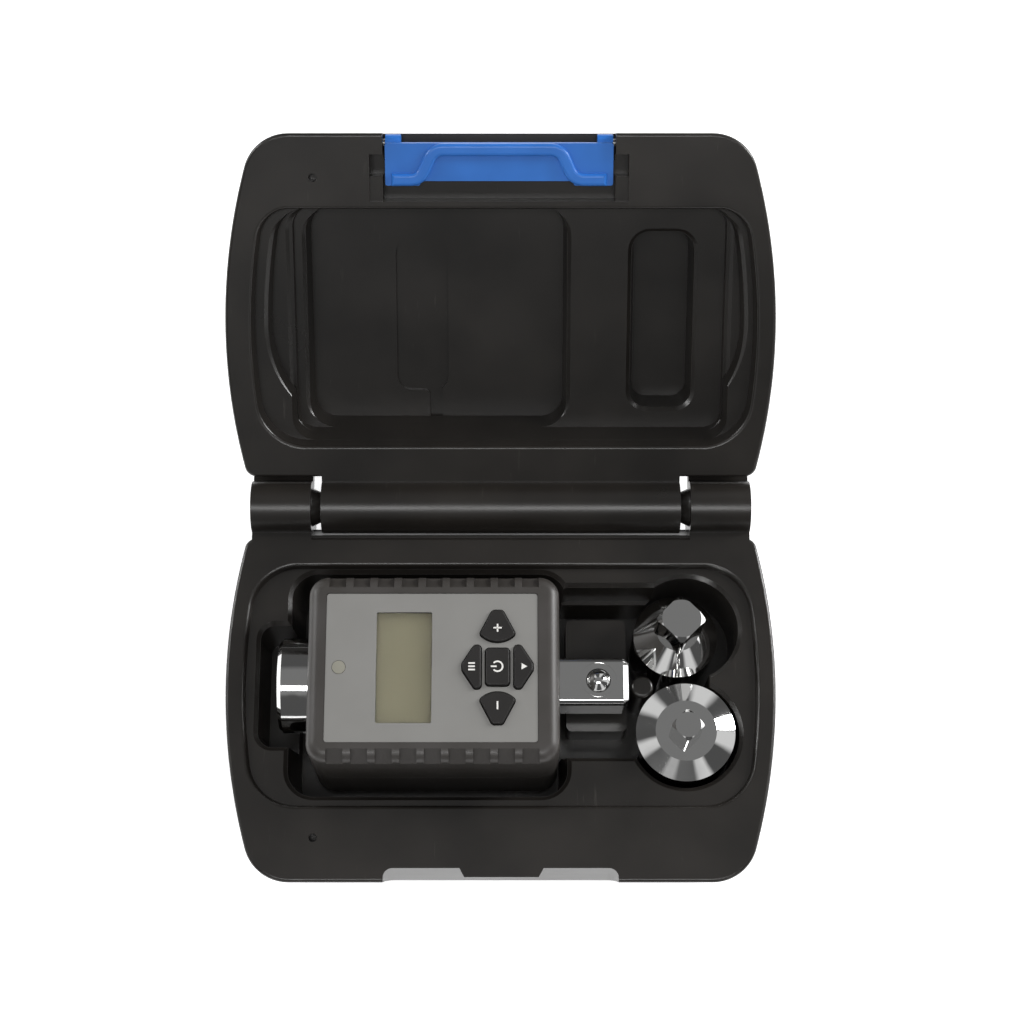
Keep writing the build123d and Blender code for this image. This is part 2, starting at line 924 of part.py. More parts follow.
def key_outline(name, extra):
    """Outline of one key on the face, larger all round by the extra."""
    if name == "key_power":
        Rectangle(power_key_width, power_key_length)
    elif name in ("key_plus", "key_minus"):
        side = 1 if name == "key_plus" else -1
        with BuildLine() as border:
            Polyline(
                (-arrow_key_half, side * arrow_key_shoulder),
                (-arrow_key_tip_half, side * arrow_key_tip),
                (arrow_key_tip_half, side * arrow_key_tip),
                (arrow_key_half, side * arrow_key_shoulder),
            )
            ThreePointArc(
                (arrow_key_half, side * arrow_key_shoulder),
                (0, side * arrow_key_root),
                (-arrow_key_half, side * arrow_key_shoulder),
            )
        make_face(border.edges())
    else:
        side = 1 if name == "key_right" else -1
        with BuildLine() as border:
            Polyline(
                (side * side_key_inner, side_key_half),
                (side * side_key_shoulder, side_key_half),
                (side * side_key_outer, side_key_tip_half),
                (side * side_key_outer, -side_key_tip_half),
                (side * side_key_shoulder, -side_key_half),
                (side * side_key_inner, -side_key_half),
                close=True,
            )
        make_face(border.edges())
    fillet(vertices(), key_corner)
    if extra:
        offset(amount=extra)


def face_plane(height):
    """Plane level with the keys' middle at this height."""
    return Plane((key_x, adapter_y, height))


def centred_block(middle, size, bottom, top, corner):
    """Upright block between two heights with rounded corners."""
    with BuildSketch(Plane.XY.offset(bottom)) as outline:
        with Locations(middle):
            RectangleRounded(size[0], size[1], corner)
    extrude(outline.sketch, amount=top - bottom)


with BuildPart() as housing_front:
    with BuildSketch(Plane.XY.offset(axis_z + shell_gap / 2)):
        with Locations(body_centre):
            RectangleRounded(body_length, body_width, body_corner)
    extrude(amount=body_height / 2 - shell_gap / 2)
    fillet(housing_front.faces().sort_by(Axis.Z)[-1].edges(), body_edge_round)
    for side in (-1, 1):
        corner = (body_x, adapter_y + side * body_width / 2, body_top)
        with BuildSketch(Plane(origin=corner, x_dir=(1, 0, 0), z_dir=(0, side, 1))):
            with GridLocations(grip_pitch, 0, grip_count, 1):
                Rectangle(grip_width, grip_reach)
        extrude(amount=-grip_depth, mode=Mode.SUBTRACT)
    with BuildSketch(Plane.XY.offset(axis_z)):
        with Locations(body_centre):
            Rectangle(body_length - 2 * end_wall, body_width - 2 * front_wall)
    extrude(amount=inner_top - axis_z, mode=Mode.SUBTRACT)

    # Bulkheads that carry the bushes and the board, screw bosses and board posts
    with BuildSketch(Plane.XY.offset(axis_z + shell_gap / 2)):
        for left in (bush_left, bush_right - bush_length):
            with Locations((left + bush_length / 2, adapter_y)):
                Rectangle(bush_length, body_width - front_wall)
    extrude(amount=board_under - axis_z - shell_gap / 2)
    with BuildSketch(Plane.XY.offset(axis_z + shell_gap / 2)):
        with Locations(body_centre):
            with GridLocations(2 * boss_x, 2 * boss_y, 2, 2):
                Circle(boss_radius)
    extrude(amount=inner_top - axis_z - shell_gap / 2)
    with BuildSketch(Plane.XY.offset(board_top)):
        with Locations(((board_left + board_right) / 2, adapter_y)):
            with GridLocations(
                board_right - board_left - 2 * board_post_inset,
                board_width - 2 * board_post_inset,
                2,
                2,
            ):
                Circle(board_post_radius)
    extrude(amount=inner_top - board_top)

    # Openings of the face
    with BuildSketch(Plane.XY.offset(panel_floor)):
        with Locations((panel_x, adapter_y)):
            RectangleRounded(
                panel_right - panel_left + 2 * panel_fit,
                panel_width + 2 * panel_fit,
                panel_corner,
            )
    extrude(amount=body_top - panel_floor, mode=Mode.SUBTRACT)
    with BuildSketch(Plane.XY.offset(inner_top)):
        with Locations((window_x, adapter_y)):
            RectangleRounded(window_right - window_left, window_length, window_corner)
        with Locations((lamp_x, adapter_y)):
            Circle(lamp_radius + lamp_fit)
    extrude(amount=face_wall, mode=Mode.SUBTRACT)
    with BuildSketch(Plane.XY.offset(inner_top)):
        with Locations((window_x, adapter_y)):
            Rectangle(
                window_right - window_left + 2 * (window_lip + window_fit),
                window_length + 2 * (window_lip + window_fit),
            )
    extrude(amount=lens_top - inner_top, mode=Mode.SUBTRACT)
    for name in key_names:
        with BuildSketch(face_plane(inner_top)):
            key_outline(name, key_gap)
        extrude(amount=face_wall, mode=Mode.SUBTRACT)

    # Bores for the shaft, its bushes and seals, and the screws
    with BuildSketch(Plane.YZ.offset(body_left)):
        with Locations((adapter_y, axis_z)):
            Circle(female_radius + exit_clearance)
    extrude(amount=end_wall, mode=Mode.SUBTRACT)
    with BuildSketch(Plane.YZ.offset(seal_left)):
        with Locations((adapter_y, axis_z)):
            Circle(female_bore + bush_wall)
    extrude(amount=seal_pocket + bush_length, mode=Mode.SUBTRACT)
    with BuildSketch(Plane.YZ.offset(bush_right - bush_length)):
        with Locations((adapter_y, axis_z)):
            Circle(collar_bore + bush_wall)
    extrude(amount=seal_pocket + bush_length, mode=Mode.SUBTRACT)
    with BuildSketch(Plane.YZ.offset(seal_right)):
        with Locations((adapter_y, axis_z)):
            Circle(collar_radius + exit_clearance)
    extrude(amount=end_wall, mode=Mode.SUBTRACT)
    with BuildSketch(Plane.XY.offset(axis_z)):
        with Locations(body_centre):
            with GridLocations(2 * boss_x, 2 * boss_y, 2, 2):
                Circle(housing_screw_radius + push_clearance)
    extrude(amount=screw_top + housing_screw_length + screw_slack - axis_z, mode=Mode.SUBTRACT)
save(housing_front.part, "housing_front")

with BuildPart() as housing_rear:
    with BuildSketch(Plane.XY.offset(body_bottom)):
        with Locations(body_centre):
            RectangleRounded(body_length, body_width, body_corner)
    extrude(amount=body_height / 2 - shell_gap / 2)
    fillet(housing_rear.faces().sort_by(Axis.Z)[0].edges(), underside_round)
    with BuildSketch(Plane.XY.offset(body_bottom + floor_wall)):
        with Locations(body_centre):
            Rectangle(body_length - 2 * end_wall, body_width - 2 * rear_wall)
    extrude(amount=body_height, mode=Mode.SUBTRACT)
    with BuildSketch(Plane.XY.offset(body_bottom + floor_wall)):
        for left in (bush_left, bush_right - bush_length):
            with Locations((left + bush_length / 2, adapter_y)):
                Rectangle(bush_length, body_width - rear_wall)
        with Locations(body_centre):
            with GridLocations(2 * boss_x, 2 * boss_y, 2, 2):
                Circle(boss_radius)
    extrude(amount=axis_z - shell_gap / 2 - body_bottom - floor_wall)

    # Opening of the battery bay with the ledge its cover rests on
    cover_x = (cover_left + cover_right) / 2
    with BuildSketch(Plane.XY.offset(body_bottom)):
        with Locations((cover_x, adapter_y)):
            Rectangle(cover_right - cover_left - 2 * cover_lip, cover_width - 2 * cover_lip)
    extrude(amount=floor_wall, mode=Mode.SUBTRACT)
    with BuildSketch(Plane.XY.offset(body_bottom)):
        with Locations((cover_x, adapter_y)):
            RectangleRounded(
                cover_right - cover_left + 2 * cover_gap,
                cover_width + 2 * cover_gap,
                cover_corner,
            )
    extrude(amount=cover_thickness, mode=Mode.SUBTRACT)
    with BuildSketch(Plane.XY.offset(body_bottom + cover_thickness)):
        with Locations((cover_right - cover_screw_inset, adapter_y)):
            Circle(cover_boss_radius)
    extrude(amount=cover_boss_height)

    # Bores for the shaft, its bushes and seals, and the screws
    with BuildSketch(Plane.YZ.offset(body_left)):
        with Locations((adapter_y, axis_z)):
            Circle(female_radius + exit_clearance)
    extrude(amount=end_wall, mode=Mode.SUBTRACT)
    with BuildSketch(Plane.YZ.offset(seal_left)):
        with Locations((adapter_y, axis_z)):
            Circle(female_bore + bush_wall)
    extrude(amount=seal_pocket + bush_length, mode=Mode.SUBTRACT)
    with BuildSketch(Plane.YZ.offset(bush_right - bush_length)):
        with Locations((adapter_y, axis_z)):
            Circle(collar_bore + bush_wall)
    extrude(amount=seal_pocket + bush_length, mode=Mode.SUBTRACT)
    with BuildSketch(Plane.YZ.offset(seal_right)):
        with Locations((adapter_y, axis_z)):
            Circle(collar_radius + exit_clearance)
    extrude(amount=end_wall, mode=Mode.SUBTRACT)
    with BuildSketch(Plane.XY.offset(body_bottom)):
        with Locations(body_centre):
            with GridLocations(2 * boss_x, 2 * boss_y, 2, 2):
                Circle(housing_screw_radius + push_clearance)
    extrude(amount=body_height / 2, mode=Mode.SUBTRACT)
    with BuildSketch(Plane.XY.offset(body_bottom)):
        with Locations(body_centre):
            with GridLocations(2 * boss_x, 2 * boss_y, 2, 2):
                Circle(housing_screw_head_radius + push_clearance)
    extrude(amount=screw_top - body_bottom, mode=Mode.SUBTRACT)
    with BuildSketch(Plane.XY.offset(body_bottom + cover_thickness)):
        with Locations((cover_right - cover_screw_inset, adapter_y)):
            Circle(housing_screw_radius + push_clearance)
    extrude(amount=cover_boss_height, mode=Mode.SUBTRACT)
save(housing_rear.part, "housing_rear")

with BuildPart() as housing_screws:
    with BuildSketch(Plane.XY.offset(body_bottom + housing_screw_recess)):
        with Locations(body_centre):
            with GridLocations(2 * boss_x, 2 * boss_y, 2, 2):
                Circle(housing_screw_head_radius)
    extrude(amount=housing_screw_head_height)
    with BuildSketch(Plane.XY.offset(screw_top)):
        with Locations(body_centre):
            with GridLocations(2 * boss_x, 2 * boss_y, 2, 2):
                Circle(housing_screw_radius)
    extrude(amount=housing_screw_length)
save(housing_screws.part, "housing_screws")

# Face plate, window, display, lamp and keys
with BuildPart() as face_panel:
    with BuildSketch(Plane.XY.offset(panel_floor)):
        with Locations((panel_x, adapter_y)):
            RectangleRounded(panel_right - panel_left, panel_width, panel_corner)
        with Locations((window_x, adapter_y)):
            RectangleRounded(
                window_right - window_left, window_length, window_corner, mode=Mode.SUBTRACT
            )
        with Locations((lamp_x, adapter_y)):
            Circle(lamp_radius + lamp_fit, mode=Mode.SUBTRACT)
    extrude(amount=panel_thickness)
    for name in key_names:
        with BuildSketch(face_plane(panel_floor)):
            key_outline(name, key_gap)
        extrude(amount=panel_thickness, mode=Mode.SUBTRACT)
save(face_panel.part, "face_panel")

with BuildPart() as display_window:
    centred_block(
        (window_x, adapter_y),
        (
            window_right - window_left + 2 * window_lip,
            window_length + 2 * window_lip,
        ),
        lens_top - window_thickness,
        lens_top,
        window_corner,
    )
save(display_window.part, "display_window")

with BuildPart() as lcd_module:
    centred_block(
        (window_x, adapter_y),
        (
            window_right - window_left + 2 * lcd_margin,
            window_length + 2 * lcd_margin,
        ),
        board_top,
        inner_top - lcd_gap,
        window_corner,
    )
    centred_block(
        (window_x, adapter_y),
        (
            window_right - window_left + window_lip,
            window_length + window_lip,
        ),
        inner_top - lcd_gap,
        lens_top - window_thickness - lcd_gap,
        window_corner,
    )
save(lcd_module.part, "lcd_module")

with BuildPart() as status_lamp:
    with BuildSketch(Plane.XY.offset(board_top)):
        with Locations((lamp_x, adapter_y)):
            Circle(lamp_radius)
    extrude(amount=body_top - panel_sunk - board_top)
save(status_lamp.part, "status_lamp")

key_top = body_top - panel_sunk + key_proud
key_bottom = board_top + mat_thickness + key_travel + key_rest_gap
flange_top = inner_top - key_seat_gap
for name in key_names:
    with BuildPart() as key:
        with BuildSketch(face_plane(key_bottom)):
            key_outline(name, 0)
        extrude(amount=key_top - key_bottom)
        fillet(key.faces().sort_by(Axis.Z)[-1].edges(), key_round)
        with BuildSketch(face_plane(flange_top - key_flange_thickness)):
            key_outline(name, key_flange)
        extrude(amount=key_flange_thickness)
    save(key.part, name)

# Electronics
with BuildPart() as circuit_board:
    centred_block(
        ((board_left + board_right) / 2, adapter_y),
        (board_right - board_left, board_width),
        board_under,
        board_top,
        board_corner,
    )
save(circuit_board.part, "circuit_board")

with BuildPart() as key_mat:
    centred_block(
        (key_x, adapter_y),
        (
            2 * (side_key_outer + mat_margin),
            2 * (arrow_key_shoulder + board_post_inset),
        ),
        board_top,
        board_top + mat_thickness,
        board_corner,
    )
save(key_mat.part, "key_mat")

with BuildPart() as buzzer:
    with BuildSketch(Plane.XY.offset(board_under)):
        with Locations((buzzer_x, adapter_y + buzzer_side)):
            Circle(buzzer_radius)
    extrude(amount=-buzzer_height)
    with BuildSketch(Plane.XY.offset(board_under - buzzer_height)):
        with Locations((buzzer_x, adapter_y + buzzer_side)):
            Circle(buzzer_hole_radius)
    extrude(amount=buzzer_height / 2, mode=Mode.SUBTRACT)
save(buzzer.part, "buzzer")


# Detent balls, springs and their bores
def lip_radius(ball_radius, proud):
    """Radius of the staked mouth that keeps a ball in its bore."""
    height = ball_radius - proud - ball_lip
    return sqrt(ball_radius**2 - height**2) + ball_clearance / 2


def ball_bore(face, ball_radius, proud, depth):
    """Bore below a face with a staked mouth and the ring left by staking."""
    with BuildSketch(face.offset(-ball_lip)) as bore:
        Circle(ball_radius + ball_clearance)
    extrude(bore.sketch, amount=ball_lip - depth, mode=Mode.SUBTRACT)
    with BuildSketch(face) as mouth:
        Circle(lip_radius(ball_radius, proud))
    extrude(mouth.sketch, amount=-ball_lip, mode=Mode.SUBTRACT)
    with BuildSketch(face) as ring:
        Circle(ball_radius + stake_ring_from_ball + stake_ring_width)
        Circle(ball_radius + stake_ring_from_ball, mode=Mode.SUBTRACT)
    extrude(ring.sketch, amount=-stake_ring_depth, mode=Mode.SUBTRACT)


def detent_ball(face, ball_radius, proud):
    """Ball standing proud of a face."""
    with Locations(face.offset(proud - ball_radius)):
        Sphere(ball_radius)


def detent_spring(face, ball_radius, proud, length):
    """Coil spring between a ball's back and the end of its bore."""
    start = face.offset(proud - 2 * ball_radius - length + spring_wire / 2)
    coil_radius = ball_radius - spring_side_gap - spring_wire / 2
    height = length - spring_wire
    with BuildLine() as coil:
        Helix(
            height / spring_turns,
            height,
            coil_radius,
            center=start.origin,
            direction=start.z_dir,
        )
    with BuildSketch(Plane(origin=coil.line @ 0, z_dir=coil.line % 0)) as wire:
        Rectangle(spring_wire, spring_wire)
    sweep(wire.sketch, path=coil.line, is_frenet=True)


# Drive shaft
drive_face = Plane((drive_tip - drive_ball_from_tip, adapter_y, axis_z + square_half_inch / 2))
flat_height = strain_radius - strain_flat_drop
with BuildPart() as drive_shaft:
    with BuildSketch(shaft_plane):
        with BuildLine():
            Polyline(
                (female_tip, 0),
                (female_tip, female_radius - female_chamfer),
                (female_tip + female_chamfer, female_radius),
                (female_root, female_radius),
                (strain_start, strain_radius),
                (strain_end, strain_radius),
                (collar_start, collar_radius),
                (collar_end, collar_radius),
                (collar_end, 0),
                close=True,
            )
        make_face()
    revolve(axis=shaft_axis)
    with BuildSketch(Plane.YZ.offset(collar_end)):
        with Locations((adapter_y, axis_z)):
            RectangleRounded(square_half_inch, square_half_inch, drive_corner_round)
    extrude(amount=drive_tip - collar_end)
    chamfer(drive_shaft.faces().sort_by(Axis.X)[-1].edges(), drive_tip_chamfer)
    with BuildSketch(Plane.YZ.offset(female_tip)):
        with Locations((adapter_y, axis_z)):
            RectangleRounded(
                square_half_inch + 2 * socket_clearance,
                square_half_inch + 2 * socket_clearance,
                socket_corner,
            )
    extrude(amount=socket_depth, mode=Mode.SUBTRACT)
    for side in (-1, 1):
        with BuildSketch(Plane.XY.offset(axis_z + side * flat_height)):
            with Locations(((strain_start + strain_end) / 2, adapter_y)):
                Rectangle(
                    strain_end - strain_start - 2 * strain_flat_end, 2 * strain_radius
                )
        extrude(amount=side * strain_radius, mode=Mode.SUBTRACT)
    ball_bore(
        drive_face,
        drive_ball_radius,
        drive_ball_proud,
        2 * drive_ball_radius - drive_ball_proud + drive_spring_length + spring_end_gap,
    )
save(drive_shaft.part, "drive_shaft")

with BuildPart() as drive_ball:
    detent_ball(drive_face, drive_ball_radius, drive_ball_proud)
save(drive_ball.part, "drive_ball")

with BuildPart() as drive_ball_spring:
    detent_spring(drive_face, drive_ball_radius, drive_ball_proud, drive_spring_length)
save(drive_ball_spring.part, "drive_ball_spring")

gauge_x = (strain_start + strain_end) / 2
with BuildPart() as strain_gauges:
    for side in (-1, 1):
        with BuildSketch(Plane.XY.offset(axis_z + side * flat_height)):
            with Locations((gauge_x, adapter_y)):
                with GridLocations(gauge_pitch, 0, 2, 1):
                    Rectangle(gauge_length, gauge_width)
        extrude(amount=side * gauge_thickness)
save(strain_gauges.part, "strain_gauges")

with BuildPart() as gauge_ribbon:
    with BuildSketch(Plane.XY.offset(axis_z + flat_height)):
        with Locations((gauge_x, adapter_y)):
            Rectangle(ribbon_thickness, ribbon_width)
    extrude(amount=board_under - axis_z - flat_height)
save(gauge_ribbon.part, "gauge_ribbon")

with BuildPart() as shaft_bushes:
    for start, bore in ((bush_left, female_bore), (bush_right - bush_length, collar_bore)):
        with BuildSketch(Plane.YZ.offset(start + bush_end_gap)):
            with Locations((adapter_y, axis_z)):
                Circle(bore + bush_wall - push_clearance)
                Circle(bore, mode=Mode.SUBTRACT)
        extrude(amount=bush_length - 2 * bush_end_gap)
save(shaft_bushes.part, "shaft_bushes")

with BuildPart() as seal_rings:
    for middle, bore in (
        (seal_left + seal_pocket / 2, female_radius),
        (seal_right - seal_pocket / 2, collar_radius),
    ):
        with BuildSketch(shaft_plane):
            with Locations((middle, bore + seal_section / 2)):
                Rectangle(seal_section, seal_section)
        revolve(axis=shaft_axis)
save(seal_rings.part, "seal_rings")

# Batteries, their contacts and cover
with BuildPart() as batteries:
    for side in (-1, 1):
        with BuildSketch(Plane.YZ.offset(cells_start)):
            with Locations((adapter_y + side * cell_side, cell_z)):
                Circle(cell_radius)
        extrude(amount=cell_length)
        with BuildSketch(Plane.YZ.offset(cells_start + cell_length)):
            with Locations((adapter_y + side * cell_side, cell_z)):
                Circle(cell_nub_radius)
        extrude(amount=cell_nub_length)
save(batteries.part, "batteries")

with BuildPart() as battery_contacts:
    for side in (-1, 1):
        for start, step in (
            (cells_start - cell_gap, -1),
            (cells_end + cell_gap, 1),
        ):
            with BuildSketch(Plane.YZ.offset(start)):
                with Locations((adapter_y + side * cell_side, cell_z)):
                    Rectangle(contact_size, contact_size)
            extrude(amount=step * contact_thickness)
save(battery_contacts.part, "battery_contacts")

with BuildPart() as battery_cover:
    centred_block(
        (cover_x, adapter_y),
        (cover_right - cover_left, cover_width),
        body_bottom,
        body_bottom + cover_thickness,
        cover_corner,
    )
    with BuildSketch(Plane.XY.offset(body_bottom)):
        with Locations((cover_right - cover_screw_inset, adapter_y)):
            Circle(housing_screw_radius + screw_slack)
    extrude(amount=cover_thickness, mode=Mode.SUBTRACT)
    with BuildSketch(Plane.XY.offset(body_bottom)):
        with Locations((cover_right - cover_screw_inset, adapter_y)):
            Circle(housing_screw_head_radius + screw_slack)
    extrude(amount=cover_screw_sink + cover_head_height, mode=Mode.SUBTRACT)
save(battery_cover.part, "battery_cover")

with BuildPart() as battery_cover_screw:
    with BuildSketch(Plane.XY.offset(body_bottom + cover_screw_sink)):
        with Locations((cover_right - cover_screw_inset, adapter_y)):
            Circle(housing_screw_head_radius)
    extrude(amount=cover_head_height)
    with BuildSketch(Plane.XY.offset(body_bottom + cover_screw_sink + cover_head_height)):
        with Locations((cover_right - cover_screw_inset, adapter_y)):
            Circle(housing_screw_radius)
    extrude(amount=cover_screw_length)
save(battery_cover_screw.part, "battery_cover_screw")

# Step-down adaptors standing in their wells
well_floor = rim_z - tray_floor_depth
lean = radians(lean_angle)
lean_x = sin(lean) * cos(radians(lean_direction))
lean_y = sin(lean) * sin(radians(lean_direction))
three_eighths_base = Plane(
    origin=(
        three_eighths_x,
        hinge_y - three_eighths_front,
        well_floor + three_eighths_radius * sin(lean) + seat_gap,
    ),
    x_dir=(cos(lean), 0, -lean_x),
    z_dir=(lean_x, lean_y, cos(lean)),
)
quarter_base = Plane((quarter_x, hinge_y - quarter_front, well_floor + seat_gap))


def square_adaptor(stand, profile, square, length, corner, tip):
    """Turned body with a square drive above and a square socket below."""
    with BuildSketch(stand) as drive:
        with Locations(Rot(0, 0, adaptor_turn)):
            RectangleRounded(square, square, corner)
    extrude(drive.sketch, amount=length)
    side_plane = Plane(origin=stand.origin, x_dir=stand.x_dir, z_dir=-stand.y_dir)
    turning_axis = Axis(stand.origin, stand.z_dir)
    with BuildSketch(side_plane) as tip_profile:
        with BuildLine():
            Polyline(
                (0, 0),
                (square, 0),
                (square, length - square + tip),
                (tip, length),
                (0, length),
                close=True,
            )
        make_face()
    revolve(tip_profile.sketch, axis=turning_axis, mode=Mode.INTERSECT)
    with BuildSketch(side_plane) as body_profile:
        with BuildLine():
            Polyline((0, 0), *profile, close=True)
        make_face()
    revolve(body_profile.sketch, axis=turning_axis)
    with BuildSketch(stand) as socket:
        Rectangle(
            square_half_inch + 2 * socket_clearance, square_half_inch + 2 * socket_clearance
        )
    extrude(socket.sketch, amount=adaptor_socket_depth, mode=Mode.SUBTRACT)


def square_side(stand, square, height):
    """Plane on the square's hidden face at a height above the base."""
    turn = radians(adaptor_turn)
    normal = stand.x_dir * cos(turn) + stand.y_dir * sin(turn)
    return Plane(
        origin=stand.origin + normal * (square / 2) + stand.z_dir * height, z_dir=normal
    )


three_eighths_face = square_side(
    three_eighths_base,
    square_three_eighths,
    three_eighths_length - three_eighths_ball_height,
)
with BuildPart() as adaptor_three_eighths:
    square_adaptor(
        three_eighths_base,
        (
            (three_eighths_radius - adaptor_edge, 0),
            (three_eighths_radius, adaptor_edge),
            (three_eighths_radius, three_eighths_barrel),
            (three_eighths_cone_radius, three_eighths_cone_end),
            (0, three_eighths_cone_end),
        ),
        square_three_eighths,
        three_eighths_length,
        three_eighths_corner,
        three_eighths_tip,
    )
    ball_bore(
        three_eighths_face,
        three_eighths_ball_radius,
        three_eighths_ball_proud,
        2 * three_eighths_ball_radius
        - three_eighths_ball_proud
        + adaptor_spring_length
        + spring_end_gap,
    )
save(adaptor_three_eighths.part, "adaptor_three_eighths")

with BuildPart() as adaptor_three_eighths_ball:
    detent_ball(three_eighths_face, three_eighths_ball_radius, three_eighths_ball_proud)
save(adaptor_three_eighths_ball.part, "adaptor_three_eighths_ball")

with BuildPart() as adaptor_three_eighths_ball_spring:
    detent_spring(
        three_eighths_face,
        three_eighths_ball_radius,
        three_eighths_ball_proud,
        adaptor_spring_length,
    )
save(adaptor_three_eighths_ball_spring.part, "adaptor_three_eighths_ball_spring")

quarter_face = square_side(
    quarter_base, square_quarter, quarter_length - quarter_ball_height
)
with BuildPart() as adaptor_quarter:
    square_adaptor(
        quarter_base,
        (
            (quarter_radius - adaptor_edge, 0),
            (quarter_radius, adaptor_edge),
            (quarter_radius, quarter_barrel),
            (quarter_flat_radius, quarter_cone_end),
            (0, quarter_cone_end),
        ),
        square_quarter,
        quarter_length,
        quarter_corner,
        quarter_tip,
    )
    ball_bore(
        quarter_face,
        quarter_ball_radius,
        quarter_ball_proud,
        2 * quarter_ball_radius - quarter_ball_proud + quarter_spring_length + spring_end_gap,
    )
save(adaptor_quarter.part, "adaptor_quarter")

with BuildPart() as adaptor_quarter_ball:
    detent_ball(quarter_face, quarter_ball_radius, quarter_ball_proud)
save(adaptor_quarter_ball.part, "adaptor_quarter_ball")

with BuildPart() as adaptor_quarter_ball_spring:
    detent_spring(
        quarter_face, quarter_ball_radius, quarter_ball_proud, quarter_spring_length
    )
save(adaptor_quarter_ball_spring.part, "adaptor_quarter_ball_spring")
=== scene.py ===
"""Looks of a digital torque adapter kit in its open case, laid out as a Blender add-on."""

import math

import bpy
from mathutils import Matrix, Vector


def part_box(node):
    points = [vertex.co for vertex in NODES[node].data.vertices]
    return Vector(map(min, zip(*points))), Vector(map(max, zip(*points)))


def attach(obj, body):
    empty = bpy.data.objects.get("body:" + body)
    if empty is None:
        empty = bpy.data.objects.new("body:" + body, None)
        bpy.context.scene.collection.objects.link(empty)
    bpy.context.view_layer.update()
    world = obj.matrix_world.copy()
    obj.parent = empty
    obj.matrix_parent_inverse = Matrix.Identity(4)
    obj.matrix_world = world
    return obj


bl_info = {
    "name": "Digital torque adapter kit",
    "version": (1, 0, 0),
    "blender": (4, 5, 0),
    "location": "View3D > Sidebar > Torque kit",
    "description": "Dresses the torque adapter, its case and its step-down adaptors",
    "category": "Object",
}

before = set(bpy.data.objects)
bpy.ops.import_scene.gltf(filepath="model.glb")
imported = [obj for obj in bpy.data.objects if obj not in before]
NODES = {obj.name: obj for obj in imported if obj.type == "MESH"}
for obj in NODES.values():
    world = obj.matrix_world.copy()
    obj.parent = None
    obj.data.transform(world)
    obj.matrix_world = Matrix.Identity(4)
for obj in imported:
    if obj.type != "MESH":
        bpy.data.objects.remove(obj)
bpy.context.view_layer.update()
MM = 0.001
WHITE = (1, 1, 1, 1)
# Sockets of a Mix node: its factor, its two colours and the mixed colour, its two numbers
FACTOR, COLOUR_A, COLOUR_B, MIXED = 0, 6, 7, 2
NUMBER_A, NUMBER_B = 2, 3
# Steps of the turned shapes
SCOOP_STEPS = 16
RING_STEPS = 36


def linear(text):
    """Turn an sRGB hex colour to linear RGBA."""
    channels = [int(text[i : i + 2], 16) / 255 for i in (1, 3, 5)]
    return [c / 12.92 if c <= 0.04045 else ((c + 0.055) / 1.055) ** 2.4 for c in channels] + [1]


def colour(name, text, value):
    """A colour setting with its default given as an sRGB hex value."""
    return bpy.props.FloatVectorProperty(
        name=name,
        description=text,
        default=linear(value),
        size=4,
        min=0.0,
        max=1.0,
        subtype="COLOR",
    )


def length(name, text, millimetres):
    """A length setting with its default given in millimetres."""
    return bpy.props.FloatProperty(
        name=name, description=text, default=millimetres * MM, unit="LENGTH", precision=6
    )


class KitCase(bpy.types.PropertyGroup):
    shell: colour("Case", "Blow-moulded polyethylene of the case halves", "#25221f")
    shell_deep: colour("Case, darker", "Darker patches of the case plastic", "#1c1a18")
    shell_scuff: colour("Case scuffs", "Pale rubbed marks on the case plastic", "#55524e")
    latch: colour("Latch", "Moulded polypropylene of the snap latch", "#2d73cb")
    latch_shade: colour("Latch, darker", "Darker tone of the latch plastic", "#276bc0")
    scoop_radius: length("Scoop radius", "Inside of the scoop under the hinge barrel", 7.6)
    scoop_wall: length("Scoop wall", "Thickness of the scoop at the base's back wall", 2.2)
    scoop_length: length("Scoop length", "Length of the scoop between the knuckles", 102.0)
    scoop_edge: length("Scoop edge", "Rounding of the scoop's edges", 0.3)
    scoop_turn: bpy.props.FloatProperty(
        name="Scoop turn",
        description="How far the scoop reaches round under the barrel",
        default=math.radians(52.0),
        subtype="ANGLE",
    )


class KitAdapter(bpy.types.PropertyGroup):
    housing: colour("Housing", "Spark-textured housing plastic", "#3f3c3a")
    housing_dark: colour("Housing, darker", "Darker tone of the housing", "#383532")
    panel: colour("Face plate", "Satin printed face plate", "#858481")
    panel_dark: colour("Face plate, darker", "Lower tone of the face plate", "#82817e")
    window: colour("Window", "Clear acrylic over the display", "#f4f4ee")
    display: colour("Display", "Unpowered display film", "#c2bca6")
    # Painted shade: this darker colour stands for the shadow of the window's recess on the
    # display film
    display_painted_shade: colour("Display, darker", "Shaded side of the display film", "#b6b09a")
    key: colour("Keys", "Silicone key caps", "#211f1e")
    key_dark: colour("Keys, darker", "Darker tone of the key caps", "#1b1918")
    legend: colour("Legends", "White printed symbols", "#eceae6")
    lamp: colour("Lamp", "Milky lamp lens", "#939186")
    lamp_dark: colour("Lamp, darker", "Darker tone of the lamp lens", "#8d8b80")
    stroke: length("Stroke", "Width of the printed strokes", 0.42)
    sign: length("Signs", "Length of the plus and minus signs", 2.1)
    sign_shift: length("Sign shift", "Plus and minus off their keys' middles", 0.6)
    ring: length("Power ring", "Diameter of the power symbol", 3.0)
    ring_gap: bpy.props.FloatProperty(
        name="Ring gap",
        description="Opening of the power symbol's ring",
        default=math.radians(80.0),
        subtype="ANGLE",
    )
    mark: length("Side marks", "Length of the marks on the side keys", 1.7)
    ink: length("Ink", "Thickness of the printed symbols", 0.12)
    ink_sunk: length("Ink sunk", "How far the ink is let into the key", 0.06)


